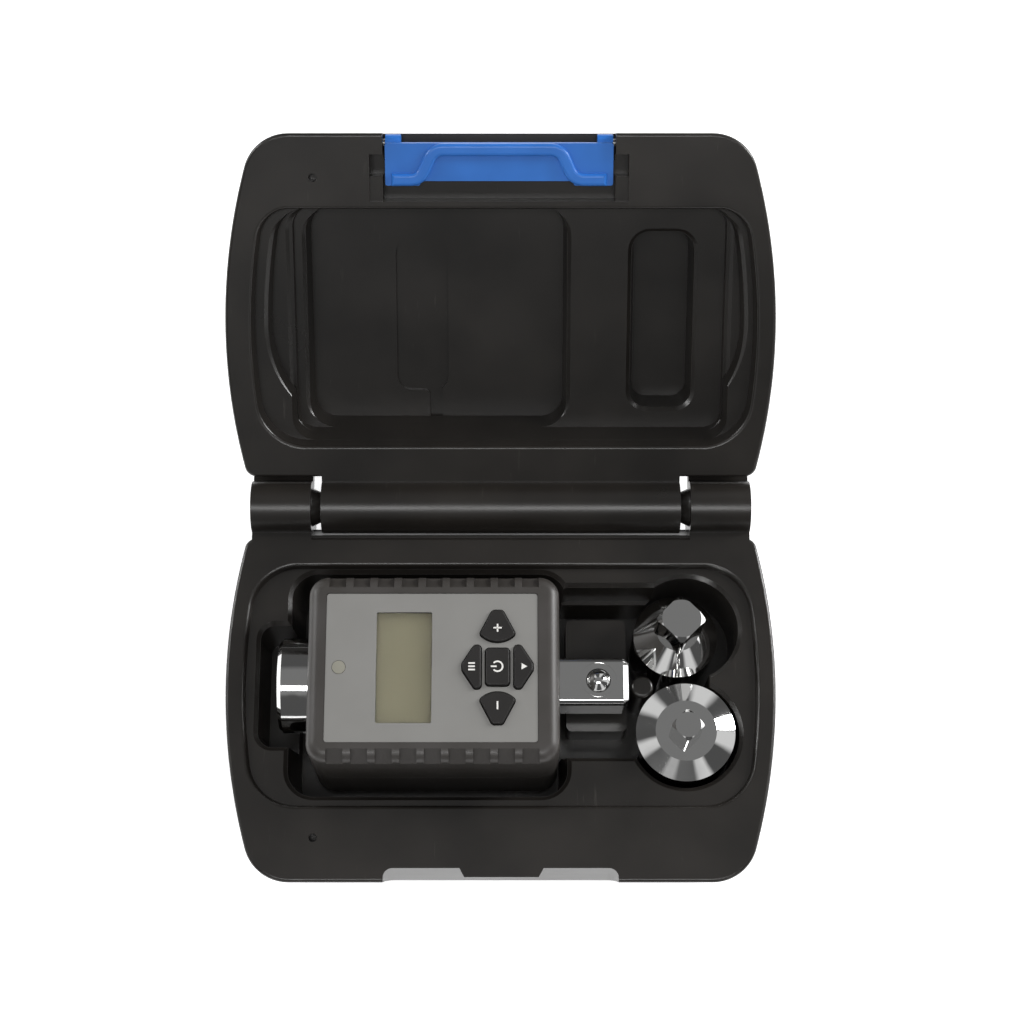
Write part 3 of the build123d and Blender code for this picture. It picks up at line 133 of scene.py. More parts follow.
class KitMetal(bpy.types.PropertyGroup):
    chrome: colour("Chrome", "Bright chrome plate on steel", "#e0e0df")
    steel: colour("Steel", "Plain steel of the pins", "#a9a9a8")
    wire: colour("Spring wire", "Tempered spring wire", "#8f8a84")
    bronze: colour("Contacts", "Stamped bronze of the battery contacts", "#c8a765")
    blackened: colour("Screws", "Blackened steel of the screws", "#3a3a3b")


class KitInside(bpy.types.PropertyGroup):
    board: colour("Board", "Solder mask of the circuit board", "#17492c")
    board_dark: colour("Board, darker", "Solder mask over bare laminate", "#123c24")
    mat: colour("Key mat", "Unpigmented silicone sheet", "#9b9a97")
    mat_dark: colour("Key mat, darker", "Thicker places of the sheet", "#8d8c89")
    rubber: colour("Seals", "Nitrile rubber of the seals", "#161515")
    rubber_dark: colour("Seals, darker", "Darker tone of the rubber", "#0f0f0f")
    bush: colour("Bushes", "Turned acetal of the bushes", "#e4e1d8")
    bush_dark: colour("Bushes, darker", "Darker tone of the acetal", "#d8d5cb")
    gauge: colour("Gauges", "Polyimide film of the gauges", "#b3762b")
    gauge_dark: colour("Gauges, darker", "Film over etched foil", "#a0661f")
    sleeve: colour("Cells", "Shrink sleeve of the cells", "#4a5560")
    sleeve_dark: colour("Cells, darker", "Darker tone of the sleeve", "#414b55")


class KitStage(bpy.types.PropertyGroup):
    floor: colour("Floor", "Pale floor and backdrop", "#ffffff")
    camera_rise: bpy.props.FloatProperty(
        name="Camera rise",
        description="Angle of the camera above the floor",
        default=math.radians(72.0),
        subtype="ANGLE",
    )
    camera_distance: length("Camera distance", "From the camera to the hinge line", 600.0)
    lens: bpy.props.FloatProperty(
        name="Lens", description="Focal length", default=79.56, unit="CAMERA"
    )
    fill: bpy.props.FloatProperty(
        name="Fill",
        description="Strength of the studio's even light",
        default=0.34,
        min=0.0,
        subtype="FACTOR",
    )
    mirrored: bpy.props.FloatProperty(
        name="Mirrored",
        description="Strength of the studio as metal shows it",
        default=0.9,
        min=0.0,
        subtype="FACTOR",
    )
    glow: bpy.props.FloatProperty(
        name="Glow",
        description="Extra brightness of the paper as the camera sees it",
        default=0.62,
        min=0.0,
        subtype="FACTOR",
    )
    sheen_glow: bpy.props.FloatProperty(
        name="Glow in the sheen",
        description="Extra brightness of the paper in the plastic's sheen",
        default=0.7,
        min=0.0,
        subtype="FACTOR",
    )


def node(tree, kind, settings=None, links=None):
    """Add a node with its settings, and link its inputs to earlier outputs."""
    added = tree.nodes.new(kind)
    for key, value in (settings or {}).items():
        if isinstance(key, str) and hasattr(added, key):
            setattr(added, key, value)
        else:
            added.inputs[key].default_value = value
    for key, output in (links or {}).items():
        tree.links.new(output, added.inputs[key])
    return added


def start(name):
    """New material with its tree emptied, and the Object coordinates of its piece."""
    material = bpy.data.materials.new(name)
    material.use_nodes = True
    tree = material.node_tree
    tree.nodes.clear()
    return material, tree, node(tree, "ShaderNodeTexCoord").outputs["Object"]


def per_metre(millimetres):
    """Texture scale whose features are about this many millimetres apart."""
    return 1000.0 / millimetres


def moulded_polyethylene():
    """Black polyethylene, blow moulded against a blasted mould: waxy, uneven, easily scuffed."""
    look = bpy.context.scene.kit_case
    material, tree, place = start("blow_moulded_polyethylene")
    # Slow changes of tone from the uneven wall, about 30 mm across
    cloud = node(
        tree, "ShaderNodeTexNoise", {"Scale": per_metre(30), "Detail": 3.0}, {"Vector": place}
    )
    tone = node(
        tree,
        "ShaderNodeMapRange",
        {"From Min": 0.35, "From Max": 0.65},
        {"Value": cloud.outputs["Fac"]},
    )
    body = node(
        tree,
        "ShaderNodeMix",
        {"data_type": "RGBA", COLOUR_A: look.shell_deep, COLOUR_B: look.shell},
        {FACTOR: tone.outputs[0]},
    )
    # Short scratches in two directions, only where things have rubbed. Real ones are hair
    # thin, and these are drawn over 1 mm apart, as coarse as they need to show
    scratches = []
    for turn, apart in ((0.6, 1.1), (-0.8, 1.6)):
        laid = node(
            tree,
            "ShaderNodeMapping",
            {"Rotation": (0.0, 0.0, turn), "Scale": (1.0, 0.09, 0.09)},
            {"Vector": place},
        )
        strands = node(
            tree,
            "ShaderNodeTexNoise",
            {"Scale": per_metre(apart), "Detail": 3.0, "Roughness": 0.6},
            {"Vector": laid.outputs[0]},
        )
        scratches.append(
            node(
                tree,
                "ShaderNodeMapRange",
                {"From Min": 0.66, "From Max": 0.8},
                {"Value": strands.outputs["Fac"]},
            ).outputs[0]
        )
    # Rubbed places, about 14 mm across
    rubbed = node(
        tree, "ShaderNodeTexNoise", {"Scale": per_metre(14), "Detail": 2.0}, {"Vector": place}
    )
    worn = node(
        tree,
        "ShaderNodeMapRange",
        {"From Min": 0.52, "From Max": 0.7, "To Max": 0.5},
        {"Value": rubbed.outputs["Fac"]},
    )
    both = node(
        tree, "ShaderNodeMath", {"operation": "MAXIMUM"}, {0: scratches[0], 1: scratches[1]}
    )
    scuffs = node(
        tree,
        "ShaderNodeMath",
        {"operation": "MULTIPLY"},
        {0: both.outputs[0], 1: worn.outputs[0]},
    )
    marked = node(
        tree,
        "ShaderNodeMix",
        {"data_type": "RGBA", COLOUR_B: look.shell_scuff},
        {FACTOR: scuffs.outputs[0], COLOUR_A: body.outputs[MIXED]},
    )
    # Waxy sheen that changes with the tone
    sheen = node(
        tree,
        "ShaderNodeMapRange",
        {"To Min": 0.24, "To Max": 0.36},
        {"Value": cloud.outputs["Fac"]},
    )
    # Grain of the blasted mould, drawn 0.5 mm apart so that it shows: the real one is finer
    grit = node(
        tree, "ShaderNodeTexNoise", {"Scale": per_metre(0.5), "Detail": 2.0}, {"Vector": place}
    )
    bump = node(
        tree,
        "ShaderNodeBump",
        {"Strength": 0.25, "Distance": 0.05 * MM},
        {"Height": grit.outputs["Fac"]},
    )
    shader = node(
        tree,
        "ShaderNodeBsdfPrincipled",
        {"IOR": 1.51},
        {
            "Base Color": marked.outputs[MIXED],
            "Roughness": sheen.outputs[0],
            "Normal": bump.outputs[0],
        },
    )
    node(tree, "ShaderNodeOutputMaterial", links={"Surface": shader.outputs[0]})
    return material


def moulded(name, main, second, roughness, grain, depth, ior):
    """Even plastic or rubber with the fine grain of its mould, sizes in millimetres.

    Where the real grain is too fine to show, the grain given is as coarse as it needs to be.
    """
    material, tree, place = start(name)
    # Slow drift of tone, about 12 mm across
    drift = node(
        tree, "ShaderNodeTexNoise", {"Scale": per_metre(12), "Detail": 2.0}, {"Vector": place}
    )
    tone = node(
        tree,
        "ShaderNodeMapRange",
        {"From Min": 0.35, "From Max": 0.65},
        {"Value": drift.outputs["Fac"]},
    )
    body = node(
        tree,
        "ShaderNodeMix",
        {"data_type": "RGBA", COLOUR_A: second, COLOUR_B: main},
        {FACTOR: tone.outputs[0]},
    )
    grit = node(
        tree,
        "ShaderNodeTexNoise",
        {"Scale": per_metre(grain), "Detail": 2.0},
        {"Vector": place},
    )
    sheen = node(
        tree,
        "ShaderNodeMapRange",
        {"To Min": roughness - 0.05, "To Max": roughness + 0.05},
        {"Value": grit.outputs["Fac"]},
    )
    bump = node(
        tree,
        "ShaderNodeBump",
        {"Strength": 0.3, "Distance": depth * MM},
        {"Height": grit.outputs["Fac"]},
    )
    shader = node(
        tree,
        "ShaderNodeBsdfPrincipled",
        {"IOR": ior},
        {
            "Base Color": body.outputs[MIXED],
            "Roughness": sheen.outputs[0],
            "Normal": bump.outputs[0],
        },
    )
    node(tree, "ShaderNodeOutputMaterial", links={"Surface": shader.outputs[0]})
    return material


def metal(name, tint, roughness, wave, depth):
    """Metal with its own tint, slow waves left by polishing and faint smears, in millimetres."""
    material, tree, place = start(name)
    waves = node(
        tree,
        "ShaderNodeTexNoise",
        {"Scale": per_metre(wave), "Detail": 1.0},
        {"Vector": place},
    )
    # The smears are twice as wide as the waves
    smears = node(
        tree,
        "ShaderNodeTexNoise",
        {"Scale": per_metre(wave * 2), "Detail": 4.0, "Roughness": 0.6},
        {"Vector": place},
    )
    body = node(
        tree,
        "ShaderNodeHueSaturation",
        {"Value": 0.93, "Color": tint},
        {"Fac": smears.outputs["Fac"]},
    )
    sheen = node(
        tree,
        "ShaderNodeMapRange",
        {
            "From Min": 0.35,
            "From Max": 0.7,
            "To Min": roughness * 0.7,
            "To Max": roughness * 1.5,
        },
        {"Value": smears.outputs["Fac"]},
    )
    bump = node(
        tree,
        "ShaderNodeBump",
        {"Strength": 0.3, "Distance": depth * MM},
        {"Height": waves.outputs["Fac"]},
    )
    shader = node(
        tree,
        "ShaderNodeBsdfPrincipled",
        {"Metallic": 1.0},
        {"Base Color": body.outputs[0], "Roughness": sheen.outputs[0], "Normal": bump.outputs[0]},
    )
    node(tree, "ShaderNodeOutputMaterial", links={"Surface": shader.outputs[0]})
    return material


def display_film():
    """Laminated film of the unpowered display: a yellowish grey, with painted shade of the
    window's recess towards the keys.
    """
    look = bpy.context.scene.kit_adapter
    material, tree, place = start("laminated_display_film")
    low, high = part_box("lcd_module")
    apart = node(tree, "ShaderNodeSeparateXYZ", links={"Vector": place})
    across = node(
        tree,
        "ShaderNodeMapRange",
        {"From Min": low[0], "From Max": high[0], "To Min": -0.2},
        {"Value": apart.outputs["X"]},
    )
    # Painted shade: the film darkens across the adapter towards the keys, standing for the shadow
    # of the window's recess
    body = node(
        tree,
        "ShaderNodeMix",
        {"data_type": "RGBA", COLOUR_A: look.display, COLOUR_B: look.display_painted_shade},
        {FACTOR: across.outputs[0]},
    )
    # Matt coat of the film, drawn 0.8 mm apart so that it shows: the real one is finer
    grain = node(
        tree, "ShaderNodeTexNoise", {"Scale": per_metre(0.8), "Detail": 2.0}, {"Vector": place}
    )
    sheen = node(
        tree,
        "ShaderNodeMapRange",
        {"To Min": 0.32, "To Max": 0.42},
        {"Value": grain.outputs["Fac"]},
    )
    shader = node(
        tree,
        "ShaderNodeBsdfPrincipled",
        {"IOR": 1.5},
        {"Base Color": body.outputs[MIXED], "Roughness": sheen.outputs[0]},
    )
    node(tree, "ShaderNodeOutputMaterial", links={"Surface": shader.outputs[0]})
    return material


def window_acrylic():
    """Clear acrylic cut from cast sheet: no colour, sharp reflections, faint finger smears."""
    look = bpy.context.scene.kit_adapter
    material, tree, place = start("cast_acrylic")
    smears = node(
        tree, "ShaderNodeTexNoise", {"Scale": per_metre(6), "Detail": 3.0}, {"Vector": place}
    )
    sheen = node(
        tree,
        "ShaderNodeMapRange",
        {"To Min": 0.02, "To Max": 0.09},
        {"Value": smears.outputs["Fac"]},
    )
    shader = node(
        tree,
        "ShaderNodeBsdfPrincipled",
        {"Base Color": look.window, "Transmission Weight": 1.0, "IOR": 1.49},
        {"Roughness": sheen.outputs[0]},
    )
    node(tree, "ShaderNodeOutputMaterial", links={"Surface": shader.outputs[0]})
    return material


def dress(material, *names):
    """Give CAD nodes a material."""
    for name in names:
        slots = NODES[name].data.materials
        slots.clear()
        slots.append(material)


def deselect():
    """Leave edit mode with nothing selected."""
    if bpy.context.object and bpy.context.object.mode != "OBJECT":
        bpy.ops.object.mode_set(mode="OBJECT")
    bpy.ops.object.select_all(action="DESELECT")


def swept(section, place, tilt, steps, angle, centre, axis):
    """Closed band made by turning a flat section of this width and height about an axis."""
    deselect()
    bpy.ops.mesh.primitive_plane_add(size=1, location=place, rotation=tilt)
    band = bpy.context.object
    band.scale = (*section, 1)
    bpy.ops.object.transform_apply(location=True, rotation=True, scale=True)
    bpy.ops.object.mode_set(mode="EDIT")
    bpy.ops.mesh.select_all(action="SELECT")
    bpy.ops.mesh.delete(type="ONLY_FACE")
    bpy.ops.mesh.select_all(action="SELECT")
    bpy.ops.mesh.spin(steps=steps, angle=angle, center=centre, axis=axis)
    bpy.ops.mesh.select_all(action="SELECT")
    bpy.ops.mesh.fill_holes(sides=4)
    bpy.ops.mesh.select_all(action="SELECT")
    bpy.ops.mesh.normals_make_consistent(inside=False)
    bpy.ops.object.mode_set(mode="OBJECT")
    return band


def settle(piece, name, material, body, soft):
    """Name a new piece, soften its edges, bake its place in and let it ride on its body."""
    deselect()
    piece.select_set(True)
    bpy.context.view_layer.objects.active = piece
    bpy.ops.object.transform_apply(location=True, rotation=True, scale=True)
    soften = piece.modifiers.new("soft_edge", "BEVEL")
    soften.width = soft
    soften.segments = 2
    bpy.ops.object.modifier_apply(modifier=soften.name)
    piece.name = name
    piece.data.name = name
    piece.data.materials.clear()
    piece.data.materials.append(material)
    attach(piece, body)


class KIT_OT_case(bpy.types.Operator):
    """Dress the case halves and their pins, and add the scoop under the hinge barrel"""

    bl_idname = "kit.case"
    bl_label = "Case"

    def execute(self, context):
        shell = moulded_polyethylene()
        dress(shell, "case_base", "case_lid")
        self.scoop(context.scene.kit_case, shell)
        # Drawn steel: plain grey with the fine waves of drawing
        dress(
            metal("drawn_steel", context.scene.kit_metal.steel, 0.3, 2, 0.01),
            "hinge_pins",
            "latch_pins",
        )
        return {"FINISHED"}

    def scoop(self, look, shell):
        """Concave lip of the base under the hinge barrel, which the barrel turns over."""
        low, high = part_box("hinge_pins")
        hinge = Vector((0, (low[1] + high[1]) / 2, (low[2] + high[2]) / 2))
        radius = look.scoop_radius + look.scoop_wall / 2
        # The lip leaves the base's back wall a little below the hinge's middle
        first = math.radians(5)
        lip = swept(
            section=(look.scoop_length, look.scoop_wall),
            place=hinge - Vector((0, math.cos(first), math.sin(first))) * radius,
            tilt=(first, 0, 0),
            steps=SCOOP_STEPS,
            angle=look.scoop_turn,
            centre=hinge,
            axis=(-1, 0, 0),
        )
        settle(lip, "hinge_scoop", shell, "case", look.scoop_edge)


class KIT_OT_latch(bpy.types.Operator):
    """Dress the snap latch"""

    bl_idname = "kit.latch"
    bl_label = "Latch"

    def execute(self, context):
        look = context.scene.kit_case
        # Polypropylene from a smooth mould: clear blue, even and a little waxy
        dress(
            moulded(
                "moulded_polypropylene", look.latch, look.latch_shade, 0.34, 0.6, 0.01, 1.49
            ),
            "latch",
        )
        return {"FINISHED"}


class KIT_OT_housing(bpy.types.Operator):
    """Dress the adapter's two shells and its battery cover"""

    bl_idname = "kit.housing"
    bl_label = "Housing"

    def execute(self, context):
        look = context.scene.kit_adapter
        # ABS from a spark-eroded mould: satin grey with a fine sparkle on its edges
        dress(
            moulded(
                "spark_textured_abs", look.housing, look.housing_dark, 0.42, 0.45, 0.05, 1.53
            ),
            "housing_front",
            "housing_rear",
            "battery_cover",
        )
        return {"FINISHED"}


class KIT_OT_face(bpy.types.Operator):
    """Dress the face plate, window, display and lamp"""

    bl_idname = "kit.face"
    bl_label = "Face"

    def execute(self, context):
        look = context.scene.kit_adapter
        # Screen-printed polycarbonate sheet: flat even grey with a velvet finish
        dress(
            moulded("printed_polycarbonate", look.panel, look.panel_dark, 0.45, 0.3, 0.01, 1.58),
            "face_panel",
        )
        dress(display_film(), "lcd_module")
        dress(window_acrylic(), "display_window")
        # Milky acrylic lens, moulded: a pale soft spot, hardly brighter than the plate
        dress(
            moulded("milky_acrylic", look.lamp, look.lamp_dark, 0.3, 1.0, 0.02, 1.49),
            "status_lamp",
        )
        return {"FINISHED"}


class KIT_OT_keys(bpy.types.Operator):
    """Dress the key caps and print their symbols"""

    bl_idname = "kit.keys"
    bl_label = "Keys"

    def execute(self, context):
        look = context.scene.kit_adapter
        # Silicone, compression moulded: near black, dull, a little dusty
        dress(
            moulded("moulded_silicone", look.key, look.key_dark, 0.5, 0.4, 0.03, 1.42),
            "key_plus",
            "key_minus",
            "key_power",
            "key_left",
            "key_right",
        )
        # Screen-printed ink: white, matt, slightly uneven
        ink = moulded("printed_ink", look.legend, look.legend, 0.55, 0.3, 0.02, 1.5)
        self.sign(look, ink, "key_plus", arms=True)
        self.sign(look, ink, "key_minus", arms=False)
        self.power(look, ink)
        self.bars(look, ink)
        self.arrow(look, ink)
        return {"FINISHED"}

    def spot(self, look, key):
        """Middle of a symbol's thickness over the middle of a key."""
        low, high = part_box(key)
        return Vector(
            (
                (low[0] + high[0]) / 2,
                (low[1] + high[1]) / 2,
                high[2] + look.ink / 2 - look.ink_sunk,
            )
        )

    def print_on(self, look, mark, name, ink, key):
        """Finish a printed mark on a key cap."""
        settle(mark, name, ink, key + "_cap", look.ink_sunk / 2)

    def sign(self, look, ink, key, arms):
        """Minus sign across the adapter, or with arms a plus sign."""
        deselect()
        long = look.stroke if arms else look.sign
        spot = self.spot(look, key)
        # Both signs lie a little nearer to the power key than their own keys' middles
        inwards = math.copysign(look.sign_shift, self.spot(look, "key_power").y - spot.y)
        bpy.ops.mesh.primitive_cube_add(size=1, location=spot + Vector((0, inwards, 0)))
        piece = bpy.context.object
        piece.scale = (look.stroke, long, look.ink)
        bpy.ops.object.transform_apply(location=True, rotation=False, scale=True)
        if arms:
            # The middle's four side walls grow into the arms
            level = 0.5
            for face in piece.data.polygons:
                face.select = abs(face.normal.z) < level
            bpy.ops.object.mode_set(mode="EDIT")
            bpy.ops.mesh.select_mode(type="FACE")
            bpy.ops.mesh.extrude_faces_move(
                TRANSFORM_OT_shrink_fatten={"value": (look.sign - look.stroke) / 2}
            )
            bpy.ops.object.mode_set(mode="OBJECT")
        self.print_on(look, piece, key + "_sign", ink, key)

    def power(self, look, ink):
        """Open ring with a stroke in its gap, turned to face the adapter's female end."""
        middle = self.spot(look, "key_power")
        radius = (look.ring - look.stroke) / 2
        turned = look.ring_gap / 2
        ring = swept(
            section=(look.stroke, look.ink),
            place=middle + Vector((-math.cos(turned), math.sin(turned), 0)) * radius,
            tilt=(math.radians(90), 0, -turned),
            steps=RING_STEPS,
            angle=2 * math.pi - look.ring_gap,
            centre=middle,
            axis=(0, 0, 1),
        )
        self.print_on(look, ring, "power_ring", ink, "key_power")
        deselect()
        # The stroke's middle is three quarters of the way out to the gap
        out = radius * 0.75
        bpy.ops.mesh.primitive_cube_add(size=1, location=middle - Vector((out, 0, 0)))
        stroke = bpy.context.object
        stroke.scale = (look.ring / 2, look.stroke, look.ink)
        self.print_on(look, stroke, "power_stroke", ink, "key_power")

    def bars(self, look, ink):
        """Three short bars on the left key."""
        middle = self.spot(look, "key_left")
        count = 3
        for number in range(count):
            deselect()
            along = (number - count // 2) * look.mark / 2
            bpy.ops.mesh.primitive_cube_add(size=1, location=middle + Vector((0, along, 0)))
            bar = bpy.context.object
            bar.scale = (look.mark, look.stroke, look.ink)
            self.print_on(look, bar, "left_bar_" + str(number + 1), ink, "key_left")

    def arrow(self, look, ink):
        """Small triangle on the right key."""
        deselect()
        bpy.ops.mesh.primitive_cylinder_add(
            vertices=3,
            radius=look.mark / math.sqrt(3),
            depth=look.ink,
            location=self.spot(look, "key_right"),
            rotation=(0, 0, -math.radians(90)),
        )
        self.print_on(look, bpy.context.object, "right_arrow", ink, "key_right")


class KIT_OT_drive(bpy.types.Operator):
    """Dress the shaft, the step-down adaptors, their balls and springs"""

    bl_idname = "kit.drive"
    bl_label = "Drive parts"

    def execute(self, context):
        metals = context.scene.kit_metal
        # Bright chrome plate on polished steel: a mirror with the slow waves of the buffing wheel
        chrome = metal("bright_chrome_plate", metals.chrome, 0.06, 6, 0.12)
        dress(
            chrome,
            "drive_shaft",
            "drive_ball",
            "adaptor_three_eighths",
            "adaptor_three_eighths_ball",
            "adaptor_quarter",
            "adaptor_quarter_ball",
        )
        # Music wire, drawn and tempered: grey with a brown cast
        dress(
            metal("drawn_music_wire", metals.wire, 0.28, 1, 0.005),
            "drive_ball_spring",
            "adaptor_three_eighths_ball_spring",
            "adaptor_quarter_ball_spring",
        )
        return {"FINISHED"}


class KIT_OT_inside(bpy.types.Operator):
    """Dress the pieces inside the housing"""

    bl_idname = "kit.inside"
    bl_label = "Inside"

    def execute(self, context):
        metals = context.scene.kit_metal
        look = context.scene.kit_inside
        # Epoxy laminate under solder mask: glossy green with the weave showing through
        dress(
            moulded("masked_laminate", look.board, look.board_dark, 0.3, 1.2, 0.02, 1.55),
            "circuit_board",
        )
        # Unpigmented silicone, pressed to a sheet: soft grey
        dress(
            moulded("pressed_silicone", look.mat, look.mat_dark, 0.5, 1, 0.01, 1.42),
            "key_mat",
        )
        # Nitrile rubber, moulded: dull black
        dress(
            moulded("moulded_nitrile", look.rubber, look.rubber_dark, 0.6, 0.5, 0.02, 1.5),
            "seal_rings",
            "buzzer",
        )
        # Acetal, turned: waxy off-white
        dress(
            moulded("turned_acetal", look.bush, look.bush_dark, 0.35, 0.8, 0.01, 1.48),
            "shaft_bushes",
        )
        # Polyimide film over etched foil: amber and glossy
        dress(
            moulded("polyimide_film", look.gauge, look.gauge_dark, 0.3, 0.6, 0.01, 1.6),
            "strain_gauges",
            "gauge_ribbon",
        )
        # Printed shrink sleeve over the cells: glossy slate
        dress(
            moulded("shrink_sleeve", look.sleeve, look.sleeve_dark, 0.25, 3, 0.02, 1.53),
            "batteries",
        )
        # Phosphor bronze, stamped: warm yellow metal
        dress(metal("stamped_bronze", metals.bronze, 0.3, 2, 0.01), "battery_contacts")
        # Blackened steel: dark oxide with a slight sheen
        dress(
            metal("blackened_steel", metals.blackened, 0.38, 1, 0.01),
            "housing_screws",
            "battery_cover_screw",
        )
        return {"FINISHED"}


class KIT_OT_stage(bpy.types.Operator):
    """Set the floor, the lights and the camera"""

    bl_idname = "kit.stage"
    bl_label = "Stage"

    def execute(self, context):
        look = context.scene.kit_stage
        self.floor(look)
        self.studio(context.scene, look)
        self.lamps()
        self.camera(context.scene, look)
        return {"FINISHED"}

    def floor(self, look):
        """Seamless white paper that takes the object's shadow."""
        metres = 8.0
        deselect()
        bpy.ops.mesh.primitive_plane_add(size=metres, location=(0, 0, 0))
        floor = bpy.context.object
        floor.name = "studio_floor"
        # Uncoated paper, pressed: white and dull
        material, tree, place = start("matt_paper")
        # Tooth of the paper, drawn 3 mm apart: the real one is too fine to show
        grain = node(
            tree, "ShaderNodeTexNoise", {"Scale": per_metre(3), "Detail": 2.0}, {"Vector": place}
        )
        bump = node(
            tree,
            "ShaderNodeBump",
            {"Strength": 0.1, "Distance": 0.02 * MM},
            {"Height": grain.outputs["Fac"]},
        )
        paper = node(
            tree, "ShaderNodeBsdfDiffuse", {"Color": look.floor}, {"Normal": bump.outputs[0]}
        )
        # The camera and the plastic's sheen see the paper glow, so the object's shadow is pale
        rays = node(tree, "ShaderNodeLightPath")
        sheen = node(
            tree,
            "ShaderNodeMath",
            {"operation": "MULTIPLY", 1: look.sheen_glow},
            {0: rays.outputs["Is Glossy Ray"]},
        )
        strength = node(
            tree,
            "ShaderNodeMath",
            {"operation": "MULTIPLY_ADD", 1: look.glow},
            {0: rays.outputs["Is Camera Ray"], 2: sheen.outputs[0]},
        )
        glow = node(
            tree, "ShaderNodeEmission", {"Color": look.floor}, {"Strength": strength.outputs[0]}
        )
        both = node(tree, "ShaderNodeAddShader", links={0: paper.outputs[0], 1: glow.outputs[0]})
        node(tree, "ShaderNodeOutputMaterial", links={"Surface": both.outputs[0]})
        floor.data.materials.append(material)

    def studio(self, scene, look):
        """Even light, a white backdrop, and the room that the metal mirrors."""
        world = bpy.data.worlds.new("studio")
        scene.world = world
        world.use_nodes = True
        tree = world.node_tree
        tree.nodes.clear()
        rays = node(tree, "ShaderNodeLightPath")
        way = node(tree, "ShaderNodeTexCoord")
        apart = node(tree, "ShaderNodeSeparateXYZ", links={"Vector": way.outputs["Generated"]})
        # Bright panels and dark gaps by turns round the room
        panels_round = 6.0
        first_panel = 0.9
        bearing = node(
            tree,
            "ShaderNodeMath",
            {"operation": "ARCTAN2"},
            {0: apart.outputs["Y"], 1: apart.outputs["X"]},
        )
        turns = node(
            tree,
            "ShaderNodeMath",
            {"operation": "MULTIPLY_ADD", 1: panels_round, 2: first_panel},
            {0: bearing.outputs[0]},
        )
        panels = node(tree, "ShaderNodeMath", {"operation": "SINE"}, {0: turns.outputs[0]})
        walls = node(
            tree,
            "ShaderNodeMapRange",
            {"From Min": 0.0, "From Max": 0.75, "To Min": 0.1, "To Max": 0.85},
            {"Value": panels.outputs[0]},
        )
        # A plain grey ceiling above the panels
        ceiling = 0.24
        overhead = node(
            tree,
            "ShaderNodeMapRange",
            {"From Min": 0.8, "From Max": 0.9},
            {"Value": apart.outputs["Z"]},
        )
        room = node(
            tree,
            "ShaderNodeMix",
            {"data_type": "FLOAT", NUMBER_B: ceiling},
            {FACTOR: overhead.outputs[0], NUMBER_A: walls.outputs[0]},
        )
        even = node(tree, "ShaderNodeBackground", {"Color": WHITE, "Strength": look.fill})
        strength = node(
            tree,
            "ShaderNodeMath",
            {"operation": "MULTIPLY", 1: look.mirrored},
            {0: room.outputs[0]},
        )
        mirrored = node(
            tree, "ShaderNodeBackground", {"Color": WHITE}, {"Strength": strength.outputs[0]}
        )
        # What the camera sees behind the floor
        white = node(tree, "ShaderNodeBackground", {"Color": WHITE, "Strength": 1.0})
        lit = node(
            tree,
            "ShaderNodeMixShader",
            links={0: rays.outputs["Is Glossy Ray"], 1: even.outputs[0], 2: mirrored.outputs[0]},
        )
        seen = node(
            tree,
            "ShaderNodeMixShader",
            links={0: rays.outputs["Is Camera Ray"], 1: lit.outputs[0], 2: white.outputs[0]},
        )
        node(tree, "ShaderNodeOutputWorld", links={"Surface": seen.outputs[0]})

    def lamps(self):
        """Three soft boxes, the strongest low on the right."""
        # Near the hinge, the middle of the open kit
        middle = Vector((0.0, 0.055, 0.03))
        # Places and sizes in metres
        soft_boxes = (
            ("right_softbox", (0.82, 0.36, 0.44), (0.2, 0.5), 7.5),
            ("left_softbox", (-0.76, 0.36, 0.5), (0.15, 0.5), 2.8),
            ("front_softbox", (0.0, -0.32, 1.0), (0.6, 0.2), 3.1),
        )
        for name, place, size, watts in soft_boxes:
            bpy.ops.object.light_add(type="AREA", location=place)
            lamp = bpy.context.object
            lamp.name = name
            lamp.data.shape = "RECTANGLE"
            lamp.data.size, lamp.data.size_y = size
            lamp.data.energy = watts
            lamp.rotation_euler = (middle - lamp.location).to_track_quat("-Z", "Y").to_euler()

    def camera(self, scene, look):
        """Camera at the photograph's angle."""
        # The point near the hinge's middle that the photograph is centred on
        aim = Vector((1.15, 55.05, 30.0)) * MM
        rise = look.camera_rise
        away = Vector((0, -math.cos(rise), math.sin(rise))) * look.camera_distance
        bpy.ops.object.camera_add(location=aim + away)
        camera = bpy.context.object
        camera.rotation_euler = (-away).to_track_quat("-Z", "Y").to_euler()
        camera.data.lens = look.lens
        camera.data.sensor_width = 36.0
        camera.data.clip_start = 0.01
        scene.camera = camera
        scene.view_settings.view_transform = "Standard"


class KIT_PT_sidebar(bpy.types.Panel):
    bl_label = "Torque kit"
    bl_idname = "KIT_PT_sidebar"
    bl_space_type = "VIEW_3D"
    bl_region_type = "UI"
    bl_category = "Torque kit"

    def draw(self, context):
        for operator in OPERATORS:
            self.layout.operator(operator.bl_idname)
        for group, _ in GROUPS:
            owner = getattr(context.scene, group)
            for name in owner.__annotations__:
                self.layout.prop(owner, name)


GROUPS = (
    ("kit_case", KitCase),
    ("kit_adapter", KitAdapter),
    ("kit_metal", KitMetal),
    ("kit_inside", KitInside),
    ("kit_stage", KitStage),
)
OPERATORS = (
    KIT_OT_case,
    KIT_OT_latch,
    KIT_OT_housing,
    KIT_OT_face,
    KIT_OT_keys,
    KIT_OT_drive,
    KIT_OT_inside,
    KIT_OT_stage,
)


def register():
    """Register the settings on the scene, the operators and the panel."""
    for name, group in GROUPS:
        bpy.utils.register_class(group)
        setattr(bpy.types.Scene, name, bpy.props.PointerProperty(type=group))
    for operator in OPERATORS:
        bpy.utils.register_class(operator)
    bpy.utils.register_class(KIT_PT_sidebar)


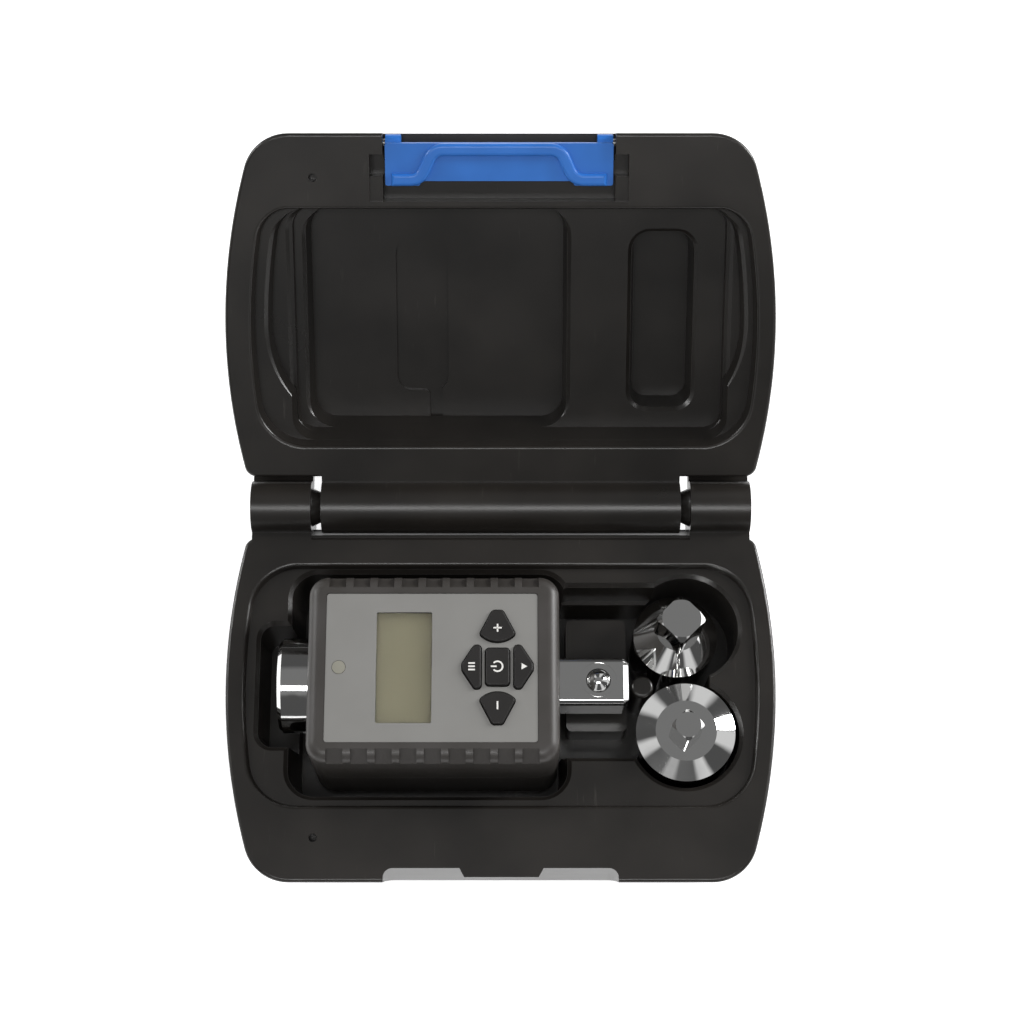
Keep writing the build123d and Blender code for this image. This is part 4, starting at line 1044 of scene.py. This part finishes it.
def unregister():
    """Take the panel, the operators and the settings off again."""
    bpy.utils.unregister_class(KIT_PT_sidebar)
    for operator in reversed(OPERATORS):
        bpy.utils.unregister_class(operator)
    for name, group in reversed(GROUPS):
        delattr(bpy.types.Scene, name)
        bpy.utils.unregister_class(group)


def main():
    register()
    bpy.ops.kit.case()
    bpy.ops.kit.latch()
    bpy.ops.kit.housing()
    bpy.ops.kit.face()
    bpy.ops.kit.keys()
    bpy.ops.kit.drive()
    bpy.ops.kit.inside()
    bpy.ops.kit.stage()
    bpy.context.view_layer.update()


if __name__ == "__main__":
    main()
